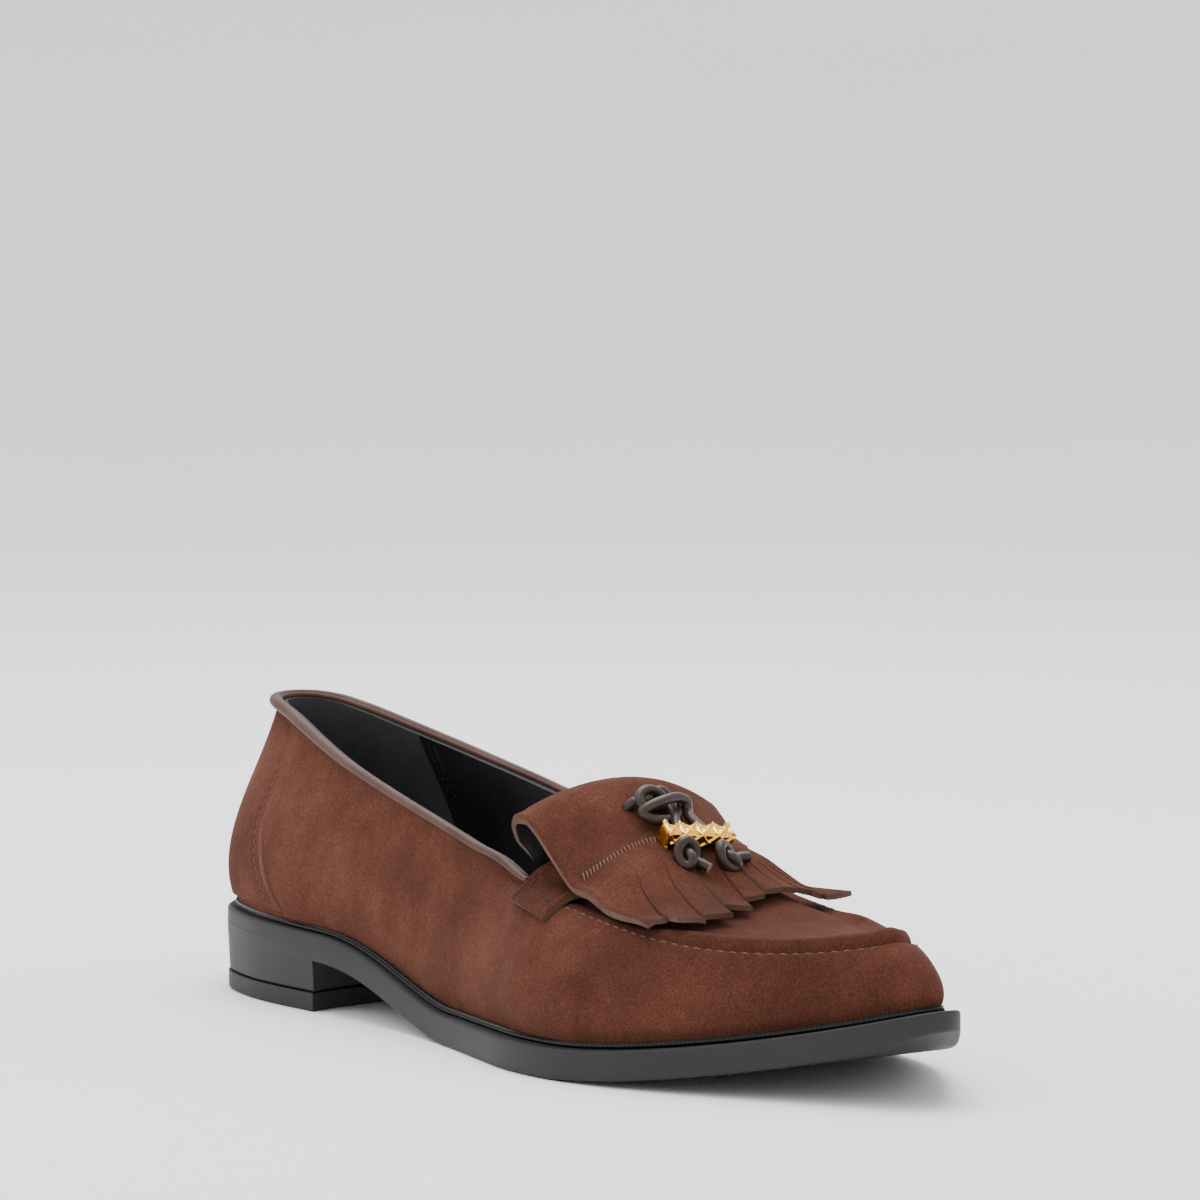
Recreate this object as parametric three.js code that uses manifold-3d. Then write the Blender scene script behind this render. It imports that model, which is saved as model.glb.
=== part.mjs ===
// A right suede loafer: flat sole with a low stacked heel, hollow upper with a raised apron seam,
// folded fringed tongue, saddle strap, and a knotted cord that carries a short metal bar.
// Frame: X runs from heel to toe, Y to the inner (medial) side, Z up, millimetres.
import * as THREE from "three";
import Module from "manifold-3d";
import { mergeVertices } from "three/addons/utils/BufferGeometryUtils.js";

const wasm = await Module();
wasm.setup();

// Driving sizes of the sole
const soleLength = 259;
const heelWidth = 56;
const waistWidth = 52;
const ballWidth = 85;
const soleThickness = 6.6;
const edgeBevel = 0.6;
const heelLength = 62;
const heelBreastHollow = 5;
const heelTaper = 0.25;
const topLiftThickness = 4.2;
const liftGroove = 0.35;
const archHeight = 11.6;
const seatSlope = 0.03;
const treadStart = 124;
const treadEnd = 174;
const toeSpring = 14.1;
const springPower = 1.7;
const toeRoll = 2;

// Driving sizes of the upper and what is stitched to it
const wall = 2;
const pieceGap = 0.3;
const clearance = 0.45;
const heelMargin = 2.3;
const ballMargin = 3.9;
const weltHeight = 1.2;
const weltShare = 0.12;
const weltSpread = 0.35;
const insoleThickness = 2.6;
const backRise = 51.2;
const instepRise = 40.4;
const collarWidth = 49;
const apronWidth = 57;
const heelBulge = 2.6;
const ballBulge = 2.4;
const ridgeWidth = 6;
const ridgeHeight = 2.9;
const hiddenRidge = 0.15;
const bindingWidth = 3.6;
const bindingHeight = 3;
const stayThickness = 1;
const strapThickness = 1.5;
const strapWidth = 14;
const strapSpan = 64;
const strapBow = 7.7;
const strapFlare = 3.6;
const strapSetback = 2;
const kiltieThickness = 1.8;
const kiltieWidth = 58;
const kiltieCurl = 4;
const rootDrop = 2;
const flapLift = 1.26;
const flapFall = 4;
const fringeSlit = 0.5;
const fringeLength = 28;
const fringeSplay = 16.2;
const cordDiameter = 2.4;
const barLength = 17;
const barDiameter = 4.4;
const barWaist = 3.85;

// Outline of the sole: along is a share of its length, lateral and medial are shares of the width named
const OUTLINE = [
  { along: 0.008, size: heelWidth, lateral: 0.1, medial: 0.18 },
  { along: 0.024, size: heelWidth, lateral: 0.23, medial: 0.29 },
  { along: 0.056, size: heelWidth, lateral: 0.357, medial: 0.41 },
  { along: 0.12, size: heelWidth, lateral: 0.452, medial: 0.493 },
  { along: 0.18, size: heelWidth, lateral: 0.484, medial: 0.516 },
  { along: 0.24, size: heelWidth, lateral: 0.4875, medial: 0.503 },
  { along: 0.32, size: waistWidth, lateral: 0.525, medial: 0.477 },
  { along: 0.4, size: waistWidth, lateral: 0.565, medial: 0.433 },
  { along: 0.48, size: ballWidth, lateral: 0.393, medial: 0.288 },
  { along: 0.56, size: ballWidth, lateral: 0.456, medial: 0.37 },
  { along: 0.62, size: ballWidth, lateral: 0.501, medial: 0.438 },
  { along: 0.68, size: ballWidth, lateral: 0.509, medial: 0.482 },
  { along: 0.72, size: ballWidth, lateral: 0.489, medial: 0.492 },
  { along: 0.76, size: ballWidth, lateral: 0.453, medial: 0.474 },
  { along: 0.82, size: ballWidth, lateral: 0.373, medial: 0.414 },
  { along: 0.88, size: ballWidth, lateral: 0.275, medial: 0.309 },
  { along: 0.94, size: ballWidth, lateral: 0.176, medial: 0.178 },
  { along: 0.982, size: ballWidth, lateral: 0.108, medial: 0.08 },
  { along: 0.995, size: ballWidth, lateral: 0.069, medial: 0.04 },
];
const heelCentre = 0.04;
const toeCentre = -0.014;

// Where each rib of the upper ends: foot is the share of the way round the outline from heel to toe,
// along a share of the sole length, out a share of half the collar width, rise a share of the size named
const TOP = [
  { foot: 0, along: 0.0413, out: 0, rise: 0.9936, size: backRise },
  { foot: 0.03, along: 0.0463, out: 0.188, rise: 0.9925, size: backRise },
  { foot: 0.07, along: 0.0676, out: 0.335, rise: 0.9886, size: backRise },
  { foot: 0.12, along: 0.1004, out: 0.42, rise: 0.9754, size: backRise },
  { foot: 0.2, along: 0.17, out: 0.588, rise: 0.9296, size: backRise },
  { foot: 0.28, along: 0.247, out: 0.743, rise: 0.8803, size: backRise },
  { foot: 0.36, along: 0.336, out: 0.849, rise: 0.8315, size: backRise },
  { foot: 0.44, along: 0.4286, out: 0.914, rise: 0.779, size: backRise },
  { foot: 0.5, along: 0.502, out: 0.955, rise: 0.7285, size: backRise },
  { foot: 0.555, along: 0.562, out: 1, rise: 0.6641, size: backRise },
  { foot: 0.6, along: 0.585, out: 0.694, rise: 0.93, size: instepRise },
  { foot: 0.64, along: 0.5927, out: 0.327, rise: 0.985, size: instepRise },
  { foot: 0.68, along: 0.5946, out: 0, rise: 1, size: instepRise },
  { foot: 0.72, along: 0.649, out: 0, rise: 0.845, size: instepRise },
  { foot: 0.78, along: 0.724, out: 0, rise: 0.655, size: instepRise },
  { foot: 0.84, along: 0.791, out: 0, rise: 0.573, size: instepRise },
  { foot: 0.9, along: 0.85, out: 0, rise: 0.505, size: instepRise },
  { foot: 0.95, along: 0.884, out: 0, rise: 0.453, size: instepRise },
  { foot: 1, along: 0.905, out: 0, rise: 0.424, size: instepRise },
];

// The apron seam: the same columns, with out a share of half the apron width
const SEAM = [
  { foot: 0.48, along: 0.52, out: 1.03, rise: 0.75, size: instepRise },
  { foot: 0.555, along: 0.591, out: 1.028, rise: 0.728, size: instepRise },
  { foot: 0.6, along: 0.633, out: 1.004, rise: 0.708, size: instepRise },
  { foot: 0.64, along: 0.672, out: 0.996, rise: 0.674, size: instepRise },
  { foot: 0.68, along: 0.71, out: 0.989, rise: 0.63, size: instepRise },
  { foot: 0.72, along: 0.749, out: 0.954, rise: 0.575, size: instepRise },
  { foot: 0.78, along: 0.807, out: 0.8, rise: 0.493, size: instepRise },
  { foot: 0.84, along: 0.857, out: 0.582, rise: 0.44, size: instepRise },
  { foot: 0.9, along: 0.898, out: 0.393, rise: 0.412, size: instepRise },
  { foot: 0.95, along: 0.923, out: 0.204, rise: 0.405, size: instepRise },
  { foot: 1, along: 0.934, out: 0, rise: 0.412, size: instepRise },
];

// Rolled edge of the apron: across from the seam as a share of the ridge width, up of its height
const RIDGE = [
  { across: 0.08, up: 0.5 },
  { across: 0.27, up: 0.93 },
  { across: 0.5, up: 1 },
  { across: 0.73, up: 0.8 },
  { across: 1, up: 0.62 },
];

// Front edge of the back stay: up a share of the upper's height, foot the share of the way round
const STAY = [
  { up: 0, foot: 0.215 },
  { up: 0.11, foot: 0.2 },
  { up: 0.32, foot: 0.177 },
  { up: 0.5, foot: 0.163 },
  { up: 0.75, foot: 0.159 },
  { up: 0.91, foot: 0.138 },
  { up: 1, foot: 0.12 },
];

// Middle line of the folded tongue, from its hidden root over the fold to the fringe: along a share of
// the sole length, rise and drop shares of the instep, half a share of half its width, far how much of
// that the medial side has, back how far its edges lie behind its middle as a share of its width
const KILTIE = [
  { along: 0.627, rise: 0.872, half: 0.7, far: 0.9, drop: 0.13, back: 0.112 },
  { along: 0.601, rise: 0.89, half: 0.7, far: 0.9, drop: 0.13, back: 0.121 },
  { along: 0.583, rise: 0.975, half: 0.74, far: 0.88, drop: 0.135, back: 0.11 },
  { along: 0.5725, rise: 1.075, half: 0.86, far: 0.84, drop: 0.145, back: 0.052 },
  { along: 0.5615, rise: 1.175, half: 0.95, far: 0.8, drop: 0.163, back: 0.017 },
  { along: 0.558, rise: 1.25, half: 0.985, far: 0.78, drop: 0.173, back: 0 },
  { along: 0.5635, rise: 1.296, half: 1, far: 0.77, drop: 0.173, back: 0 },
  { along: 0.5755, rise: 1.299, half: 1, far: 0.76, drop: 0.173, back: 0 },
  { along: 0.5925, rise: 1.247, half: 1, far: 0.75, drop: 0.18, back: 0 },
  { along: 0.612, rise: 1.156, half: 1, far: 0.73, drop: 0.193, back: 0 },
  { along: 0.6315, rise: 1.056, half: 1, far: 0.71, drop: 0.198, back: 0 },
  { along: 0.6505, rise: 0.95, half: 1, far: 0.64, drop: 0.173, back: 0 },
  { along: 0.672, rise: 0.853, half: 1, far: 0.7, drop: 0.126, back: 0 },
  { along: 0.695, rise: 0.78, half: 1, far: 0.9, drop: 0.08, back: 0 },
  { along: 0.722, rise: 0.718, half: 1.01, far: 1.03, drop: 0.065, back: 0 },
  { along: 0.7475, rise: 0.678, half: 1.02, far: 1.09, drop: 0.06, back: 0 },
  { along: 0.775, rise: 0.655, half: 1.02, far: 1.09, drop: 0.06, back: 0 },
];

// Strips of the fringe from the lateral side: where each starts across the flap, from -1 to 1, and how
// long it hangs, as a share of the fringe's length
const FRINGE = [
  { start: -1, long: 0.8 },
  { start: -0.6, long: 0.99 },
  { start: -0.34, long: 0.94 },
  { start: -0.07, long: 0.75 },
  { start: 0.2, long: 0.57 },
  { start: 0.38, long: 0.53 },
  { start: 0.55, long: 0.5 },
  { start: 0.7, long: 0.5 },
  { start: 0.83, long: 0.53 },
  { start: 0.93, long: 0.57 },
];

const clamp01 = (t) => Math.min(1, Math.max(0, t));
const mix = (a, b, t) => a + (b - a) * t;
function ease(from, to, x) {
  const t = clamp01((x - from) / (to - from));
  return t * t * (3 - 2 * t);
}

// Smooth value of a table column at a place: a cubic that never overshoots its rows
function column(rows, at, key, place, flatEnds = false) {
  const n = rows.length;
  const x = rows.map((row) => row[at]);
  const y = rows.map((row) => (typeof key === "function" ? key(row) : row[key]));
  const slope = (i) => (y[i + 1] - y[i]) / (x[i + 1] - x[i]);
  const tangent = (i) => {
    if (i === 0) return flatEnds ? 0 : slope(0);
    if (i === n - 1) return flatEnds ? 0 : slope(n - 2);
    const a = slope(i - 1);
    const b = slope(i);
    return a * b <= 0 ? 0 : (2 * a * b) / (a + b);
  };
  const p = Math.min(x[n - 1], Math.max(x[0], place));
  let i = 0;
  while (i < n - 2 && p > x[i + 1]) i++;
  const h = x[i + 1] - x[i];
  const t = (p - x[i]) / h;
  return (
    y[i] * (1 + 2 * t) * (1 - t) ** 2 +
    tangent(i) * h * t * (1 - t) ** 2 +
    y[i + 1] * t * t * (3 - 2 * t) +
    tangent(i + 1) * h * t * t * (t - 1)
  );
}

// Heights of the sole
function underside(x) {
  const arch = x < heelLength
    ? archHeight + (heelLength - x) * seatSlope
    : archHeight * (1 - ease(heelLength, treadStart, x));
  const spring = toeSpring * clamp01((x - treadEnd) / (soleLength - treadEnd)) ** springPower;
  return arch + spring + toeRoll * ease(0.94 * soleLength, soleLength, x);
}
function soleTop(x) {
  const rolled = toeRoll * ease(0.94 * soleLength, soleLength, x);
  return underside(x) - rolled + soleThickness;
}

// A straight line under the foot from the heel seat to the tread, from which the upper's heights count
const footLine = (x) => (x < treadStart ? mix(soleTop(0), soleTop(treadStart), x / treadStart) : soleTop(x));

// The closed outline as a curve, cut at the heel and at the toe into two sides
const outlinePoint = (row, side) => new THREE.Vector3(
  row.along * soleLength,
  row.size * (side < 0 ? -row.lateral : row.medial),
  0,
);
const outlineCurve = new THREE.CatmullRomCurve3([
  new THREE.Vector3(0, heelCentre * heelWidth, 0),
  ...OUTLINE.map((row) => outlinePoint(row, -1)),
  new THREE.Vector3(soleLength, toeCentre * ballWidth, 0),
  ...OUTLINE.map((row) => outlinePoint(row, 1)).reverse(),
], true, "centripetal");

const outlineSamples = 400;
function sideSamples(side) {
  const points = [];
  for (let i = 0; i <= outlineSamples; i++) {
    const t = (0.5 * i) / outlineSamples;
    points.push(outlineCurve.getPoint(side < 0 ? t : (1 - t) % 1));
  }
  const lengths = [0];
  for (let i = 1; i <= outlineSamples; i++) {
    lengths.push(lengths[i - 1] + points[i].distanceTo(points[i - 1]));
  }
  return { points, lengths };
}
const SIDES = { [-1]: sideSamples(-1), [1]: sideSamples(1) };

// Point of the outline at a share of the way from heel to toe, moved inwards by an inset
function outlineAt(side, foot, inset) {
  const { points, lengths } = SIDES[side];
  const target = clamp01(foot) * lengths[outlineSamples];
  let i = 1;
  while (i < outlineSamples && lengths[i] < target) i++;
  const t = (target - lengths[i - 1]) / (lengths[i] - lengths[i - 1]);
  const at = points[i - 1].clone().lerp(points[i], t);
  const ahead = points[Math.min(outlineSamples, i + 2)];
  const behind = points[Math.max(0, i - 3)];
  const out = new THREE.Vector3(ahead.y - behind.y, behind.x - ahead.x, 0);
  out.multiplyScalar(-side).normalize();
  if (foot <= 0) out.set(-1, 0, 0);
  if (foot >= 1) out.set(1, 0, 0);
  return { at: at.addScaledVector(out, -inset), out };
}
const margin = (foot) => mix(heelMargin, ballMargin, ease(0.2, 0.6, foot));

// Solids from grids of points
function solidFromTriangles(positions, indices) {
  const raw = new THREE.BufferGeometry();
  raw.setAttribute("position", new THREE.Float32BufferAttribute(positions, 3));
  raw.setIndex(indices);
  const merged = mergeVertices(raw, 1e-4);
  const kept = [];
  const index = merged.index.array;
  for (let i = 0; i < index.length; i += 3) {
    const [a, b, c] = [index[i], index[i + 1], index[i + 2]];
    if (a !== b && b !== c && a !== c) kept.push(a, b, c);
  }
  const solid = new wasm.Manifold(new wasm.Mesh({
    numProp: 3,
    vertProperties: new Float32Array(merged.attributes.position.array),
    triVerts: new Uint32Array(kept),
  }));
  return solid;
}

class Faces {
  constructor() {
    this.positions = [];
    this.indices = [];
  }
  point(p) {
    this.positions.push(p.x, p.y, p.z);
    return this.positions.length / 3 - 1;
  }
  quad(a, b, c, d) {
    this.indices.push(a, b, c, a, c, d);
  }
  solid() {
    return solidFromTriangles(this.positions, this.indices);
  }
}

// A sheet between two grids of points: outer faces out, inner faces in, walls along its edges
function slab(outer, inner) {
  const faces = new Faces();
  const top = outer.map((row) => row.map((p) => faces.point(p)));
  const low = inner.map((row) => row.map((p) => faces.point(p)));
  const rows = top.length - 1;
  const cols = top[0].length - 1;
  for (let i = 0; i < rows; i++) {
    for (let j = 0; j < cols; j++) {
      faces.quad(top[i][j], top[i][j + 1], top[i + 1][j + 1], top[i + 1][j]);
      faces.quad(low[i][j], low[i + 1][j], low[i + 1][j + 1], low[i][j + 1]);
    }
  }
  for (let j = 0; j < cols; j++) {
    faces.quad(top[0][j + 1], top[0][j], low[0][j], low[0][j + 1]);
    faces.quad(top[rows][j], top[rows][j + 1], low[rows][j + 1], low[rows][j]);
  }
  for (let i = 0; i < rows; i++) {
    faces.quad(top[i][0], top[i + 1][0], low[i + 1][0], low[i][0]);
    faces.quad(top[i + 1][cols], top[i][cols], low[i][cols], low[i + 1][cols]);
  }
  return faces.solid();
}

// Rings of points skinned one after the other, closed into a loop or capped at both ends
function skin(rings, loop) {
  const faces = new Faces();
  const ids = rings.map((ring) => ring.map((p) => faces.point(p)));
  const count = ids[0].length;
  const last = loop ? ids.length : ids.length - 1;
  for (let i = 0; i < last; i++) {
    const a = ids[i];
    const b = ids[(i + 1) % ids.length];
    for (let j = 0; j < count; j++) {
      const k = (j + 1) % count;
      faces.quad(a[j], a[k], b[k], b[j]);
    }
  }
  if (!loop) {
    for (let j = 1; j < count - 1; j++) {
      faces.indices.push(ids[0][0], ids[0][j + 1], ids[0][j]);
      faces.indices.push(ids[ids.length - 1][0], ids[ids.length - 1][j], ids[ids.length - 1][j + 1]);
    }
  }
  return faces.solid();
}

const facingOut = (make) => {
  const solid = make(false);
  return solid.volume() > 0 ? solid : make(true);
};
const turned = (rows, flip) => (flip ? rows.map((row) => [...row].reverse()) : rows);
const sheet = (outer, inner) => facingOut((flip) => slab(turned(outer, flip), turned(inner, flip)));
const tube = (rings, loop) => facingOut((flip) => skin(turned(rings, flip), loop));
const vector = (x, y, z) => new THREE.Vector3(x, y, z);

// Places along the outline, closer together where it turns
const evenly = (count) => Array.from({ length: count + 1 }, (_, i) => i / count);
const soleStations = evenly(38).map((t) => mix(t, (1 - Math.cos(Math.PI * t)) / 2, 0.55));

function soleRing(foot, low, high, bevel, shrink = 0) {
  const ring = [];
  const add = (side, inset, level) => {
    const { at } = outlineAt(side, foot, inset);
    ring.push(vector(at.x, at.y, level(at.x)));
  };
  add(-1, bevel + shrink, low);
  add(-1, shrink, (x) => low(x) + bevel);
  add(-1, 0, (x) => high(x) - bevel);
  add(-1, bevel, high);
  add(1, bevel, high);
  add(1, 0, (x) => high(x) - bevel);
  add(1, shrink, (x) => low(x) + bevel);
  add(1, bevel + shrink, low);
  return ring;
}

// A heel slice follows the outline at the back and ends in a hollow breast
const breastFoot = 0.275;
function heelSlice(low, high, insetLow, insetHigh) {
  const across = evenly(6);
  const stations = evenly(12).map((t) => breastFoot * mix(t, t * t, 0.4));
  const grid = (inset, level) => stations.map((foot) => across.map((c) => {
    const lateral = outlineAt(-1, foot, inset).at;
    const medial = outlineAt(1, foot, inset).at;
    const p = lateral.clone().lerp(medial, c);
    const breast = mix(lateral.x, medial.x, c);
    const hollow = heelBreastHollow * (1 - (2 * c - 1) ** 2);
    const limit = (heelLength - hollow) / breastX;
    return vector(breast * mix(1, limit, ease(0, 1, foot / breastFoot)), p.y, level(p.x));
  }));
  return sheet(grid(insetHigh, high), grid(insetLow, low));
}
const breastX = outlineAt(-1, breastFoot, 0).at.x;

function makeOutsole() {
  const plate = tube(soleStations.map((foot) => soleRing(foot, underside, soleTop, edgeBevel)), false);
  const blockLow = () => topLiftThickness + pieceGap;
  const block = heelSlice(blockLow, (x) => underside(x) + soleThickness / 2, heelTaper + liftGroove, 0.05);
  return plate.add(block);
}
const makeTopLift = () => heelSlice(() => 0, () => topLiftThickness, heelTaper + edgeBevel / 2, heelTaper);

function makeInsole() {
  const inset = (foot) => margin(foot) + wall + 2 * pieceGap;
  const rings = soleStations.map((foot) => {
    const lateral = outlineAt(-1, foot, inset(foot)).at;
    const medial = outlineAt(1, foot, inset(foot)).at;
    const low = (p) => vector(p.x, p.y, soleTop(p.x) + pieceGap);
    const high = (p) => vector(p.x, p.y, soleTop(p.x) + pieceGap + insoleThickness);
    return [low(lateral), high(lateral), high(medial), low(medial)];
  });
  return tube(rings, false);
}

// Ribs of the upper
const ribCount = 36;
const footList = evenly(ribCount).map((t) => t + 0.012 * Math.sin(2 * Math.PI * t));
const loopOf = (make) => [
  ...footList.map((foot) => make(-1, foot)),
  ...footList.slice(1, -1).reverse().map((foot) => make(1, foot)),
];

function makeWelt() {
  const rings = loopOf((side, foot) => {
    const inner = outlineAt(side, foot, margin(foot) - pieceGap).at;
    const shown = ease(0.16, 0.3, foot) * (1 - ease(0.5, 0.7, foot));
    const outer = outlineAt(side, foot, margin(foot) * (1 - weltShare - weltSpread * shown)).at;
    const base = (p) => soleTop(p.x) + pieceGap;
    return [
      vector(inner.x, inner.y, base(inner)),
      vector(outer.x, outer.y, base(outer)),
      vector(outer.x, outer.y, base(outer) + weltHeight),
      vector(inner.x, inner.y, base(inner) + weltHeight),
    ];
  });
  return tube(rings, true);
}

const axisShift = (x) => heelCentre * heelWidth * (1 - clamp01((2 * x) / soleLength));
function tablePoint(rows, side, foot, width) {
  const x = column(rows, "foot", "along", foot, true) * soleLength;
  const y = axisShift(x) + (side * column(rows, "foot", "out", foot) * width) / 2;
  const z = footLine(x) + column(rows, "foot", (row) => row.rise * row.size, foot, true);
  return vector(x, y, z);
}

// How far a rib leans from its foot to its end: straight up at the foot, rolling over at the end
const collarLean = (v) => v ** 1.6;
const shoulderLean = (v) => 1 - (1 - v ** 1.8) ** (1 / 1.8);
const hump = (v) => 6.75 * v * (1 - v) ** 2;
const baseLift = pieceGap + weltHeight + 0.4;

function wallPoint(side, foot, end, v, lean) {
  const { at, out } = outlineAt(side, foot, margin(foot));
  const bulge = mix(heelBulge, ballBulge, ease(0.1, 0.5, foot)) * (1 - 0.75 * ease(0.8, 1, foot));
  const base = soleTop(at.x) + baseLift;
  const share = lean(v);
  const x = mix(at.x, end.x, share) + out.x * bulge * hump(v);
  const y = mix(at.y, end.y, share) + out.y * bulge * hump(v);
  return vector(x, y, mix(base, end.z, v));
}

const WALL_ROWS = [0, 0.14, 0.3, 0.46, 0.62, 0.76, 0.88, 0.96];
const APRON_ROWS = [0.3, 0.62, 1];
const wallShare = 0.85;
const rimDrop = bindingHeight - pieceGap;
const bindingEnd = 0.54;

function ribPoint(side, foot, row, relief) {
  const vamp = ease(0.5, 0.6, foot);
  const top = tablePoint(TOP, side, foot, collarWidth);
  top.z -= rimDrop * (1 - ease(bindingEnd + 0.006, bindingEnd + 0.04, foot));
  const rowCount = WALL_ROWS.length + 1 + RIDGE.length + APRON_ROWS.length;
  const inWall = row < WALL_ROWS.length;
  const above = (row - WALL_ROWS.length) / (rowCount - 1 - WALL_ROWS.length);
  const collarV = inWall ? WALL_ROWS[row] * wallShare : mix(wallShare, 1, above);
  const collar = wallPoint(side, foot, top, collarV, collarLean);
  if (vamp === 0) return collar;
  const seam = tablePoint(SEAM, side, foot, apronWidth);
  let point;
  if (inWall) {
    point = wallPoint(side, foot, seam, WALL_ROWS[row], shoulderLean);
  } else {
    const inward = vector(top.x - seam.x, top.y - seam.y, 0);
    const reach = inward.length();
    inward.normalize();
    const width = Math.min(ridgeWidth, reach * 0.72);
    const height = ridgeHeight * mix(hiddenRidge, 1, ease(0.68, 0.77, foot)) * vamp;
    const ridgeRow = row - WALL_ROWS.length - 1;
    const trough = seam.clone().addScaledVector(inward, width);
    trough.z += height * RIDGE[RIDGE.length - 1].up;
    if (ridgeRow < 0) {
      point = seam;
    } else if (ridgeRow < RIDGE.length) {
      const { across, up } = RIDGE[ridgeRow];
      const lift = relief ? up : RIDGE[RIDGE.length - 1].up * ease(0, 1, across);
      point = seam.clone().addScaledVector(inward, across * width);
      point.z += height * lift;
    } else {
      const share = APRON_ROWS[ridgeRow - RIDGE.length];
      point = trough.clone().lerp(top, share);
      point.z = mix(trough.z, top.z, 1 - (1 - share) ** 1.5);
    }
  }
  return collar.lerp(point, vamp);
}

// The inside follows the outside one wall away: sideways in the wall, downwards under the apron
function innerPoint(side, foot, row) {
  const p = ribPoint(side, foot, row, false);
  const { out } = outlineAt(side, foot, 0);
  const seamRow = WALL_ROWS.length;
  const over = ease(0.5, 0.6, foot);
  const roll = row < seamRow ? ease(0.35, 1, WALL_ROWS[row]) * 0.75 : mix(0.75, 1, clamp01((row - seamRow) / 4));
  const angle = (Math.PI / 2) * roll * over;
  return p.addScaledVector(out, -wall * Math.cos(angle)).add(vector(0, 0, -wall * Math.sin(angle)));
}

const upperRows = WALL_ROWS.length + 1 + RIDGE.length + APRON_ROWS.length;
const innerRows = [0, 2, 4, 5, 6, 8, 10, 13, 14, 16].filter((row) => row < upperRows);

// Foot share at which the ribs stop at the collar and start to meet along the middle of the vamp
const throatFoot = 0.68;

const nearestFoot = footList.reduce((a, b) => (Math.abs(b - throatFoot) < Math.abs(a - throatFoot) ? b : a));
const upperFoots = footList.map((foot) => (foot === nearestFoot ? throatFoot : foot));

function makeUpper() {
  const around = [
    ...upperFoots.map((foot) => [-1, foot]),
    ...upperFoots.slice(1, -1).reverse().map((foot) => [1, foot]),
  ];
  const faces = new Faces();
  const footRow = (make) => around.map(([side, foot]) => {
    const p = make(side, foot);
    return faces.point(vector(p.x, p.y, soleTop(p.x) + pieceGap));
  });
  const outer = [footRow((side, foot) => outlineAt(side, foot, margin(foot)).at)];
  for (let row = 0; row < upperRows; row++) {
    outer.push(around.map(([side, foot]) => faces.point(ribPoint(side, foot, row, true))));
  }
  const inner = [footRow((side, foot) => outlineAt(side, foot, margin(foot) + wall).at)];
  for (const row of innerRows) {
    inner.push(around.map(([side, foot]) => faces.point(innerPoint(side, foot, row))));
  }
  const n = around.length;
  const ring = (i) => (i + 1) % n;
  for (let j = 0; j < n; j++) {
    const k = ring(j);
    for (let i = 0; i < outer.length - 1; i++) {
      faces.quad(outer[i][j], outer[i][k], outer[i + 1][k], outer[i + 1][j]);
    }
    for (let i = 0; i < inner.length - 1; i++) {
      faces.quad(inner[i][j], inner[i + 1][j], inner[i + 1][k], inner[i][k]);
    }
    faces.quad(outer[0][j], inner[0][j], inner[0][k], outer[0][k]);
    const open = around[j][1] <= throatFoot && around[k][1] <= throatFoot;
    const [a, b] = [outer[outer.length - 1], inner[inner.length - 1]];
    if (open) faces.quad(a[j], a[k], b[k], b[j]);
  }
  return faces.solid();
}

// Overlay behind the heel, cut from the upper's own function a gap away from it
function makeBackStay() {
  const heights = [0.03, ...WALL_ROWS.slice(1).map((v) => v * wallShare), 0.9, 0.97];
  const across = evenly(16).map((c) => 2 * c - 1);
  const grid = (offset) => heights.map((v) => across.map((c) => {
    const side = c < 0 ? -1 : 1;
    const foot = Math.abs(c) * column(STAY, "up", "foot", v);
    const top = tablePoint(TOP, side, foot, collarWidth);
    top.z -= rimDrop;
    const { out } = outlineAt(side, foot, 0);
    return wallPoint(side, foot, top, v, collarLean).addScaledVector(out, offset);
  }));
  return sheet(grid(2 * pieceGap + stayThickness), grid(2 * pieceGap));
}

// Binding folded over the collar edge from one end of the strap to the other
function makeBinding() {
  const steps = evenly(20).map((t) => t * bindingEnd);
  const path = [
    ...steps.slice(1).reverse().map((foot) => [-1, foot]),
    ...steps.map((foot) => [1, foot]),
  ];
  const rings = path.map(([side, foot]) => {
    const top = tablePoint(TOP, side, foot, collarWidth);
    const ahead = tablePoint(TOP, side, foot + 0.01, collarWidth);
    const along = ahead.sub(top).setZ(0);
    const out = foot === 0 ? vector(-1, 0, 0) : vector(along.y, -along.x, 0).multiplyScalar(-side).normalize();
    const middle = top.clone().addScaledVector(out, -wall / 2);
    middle.z += pieceGap - rimDrop + bindingHeight / 2;
    return evenly(8).slice(1).map((t) => {
      const angle = 2 * Math.PI * (t + 1 / 16);
      const p = middle.clone().addScaledVector(out, (bindingWidth / 2) * Math.cos(angle));
      p.z += (bindingHeight / 2) * Math.sin(angle);
      return p;
    });
  });
  return tube(rings, false);
}

// Where a line leaves the upper: straight up from the floor, or leaning to one side from the middle
function vampTriangles() {
  const foots = upperFoots.filter((foot) => foot > 0.42 && foot < 0.96);
  const triangles = [];
  for (const side of [-1, 1]) {
    const grid = foots.map((foot) => Array.from({ length: upperRows }, (_, row) => ribPoint(side, foot, row, true)));
    for (let i = 0; i < foots.length - 1; i++) {
      for (let j = 1; j < upperRows - 1; j++) {
        triangles.push([grid[i][j], grid[i + 1][j], grid[i + 1][j + 1]]);
        triangles.push([grid[i][j], grid[i + 1][j + 1], grid[i][j + 1]]);
      }
    }
  }
  return triangles;
}
const VAMP = vampTriangles();
const line = new THREE.Ray();
const spot = vector(0, 0, 0);
function leaving(x, y, angle) {
  line.set(vector(x, y + 1e-4, 0), vector(0, Math.sin(angle), Math.cos(angle)));
  let farthest = null;
  for (const [a, b, c] of VAMP) {
    if (!line.intersectTriangle(a, b, c, false, spot)) continue;
    if (!farthest || spot.z > farthest.z) farthest = spot.clone();
  }
  return farthest;
}

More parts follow.
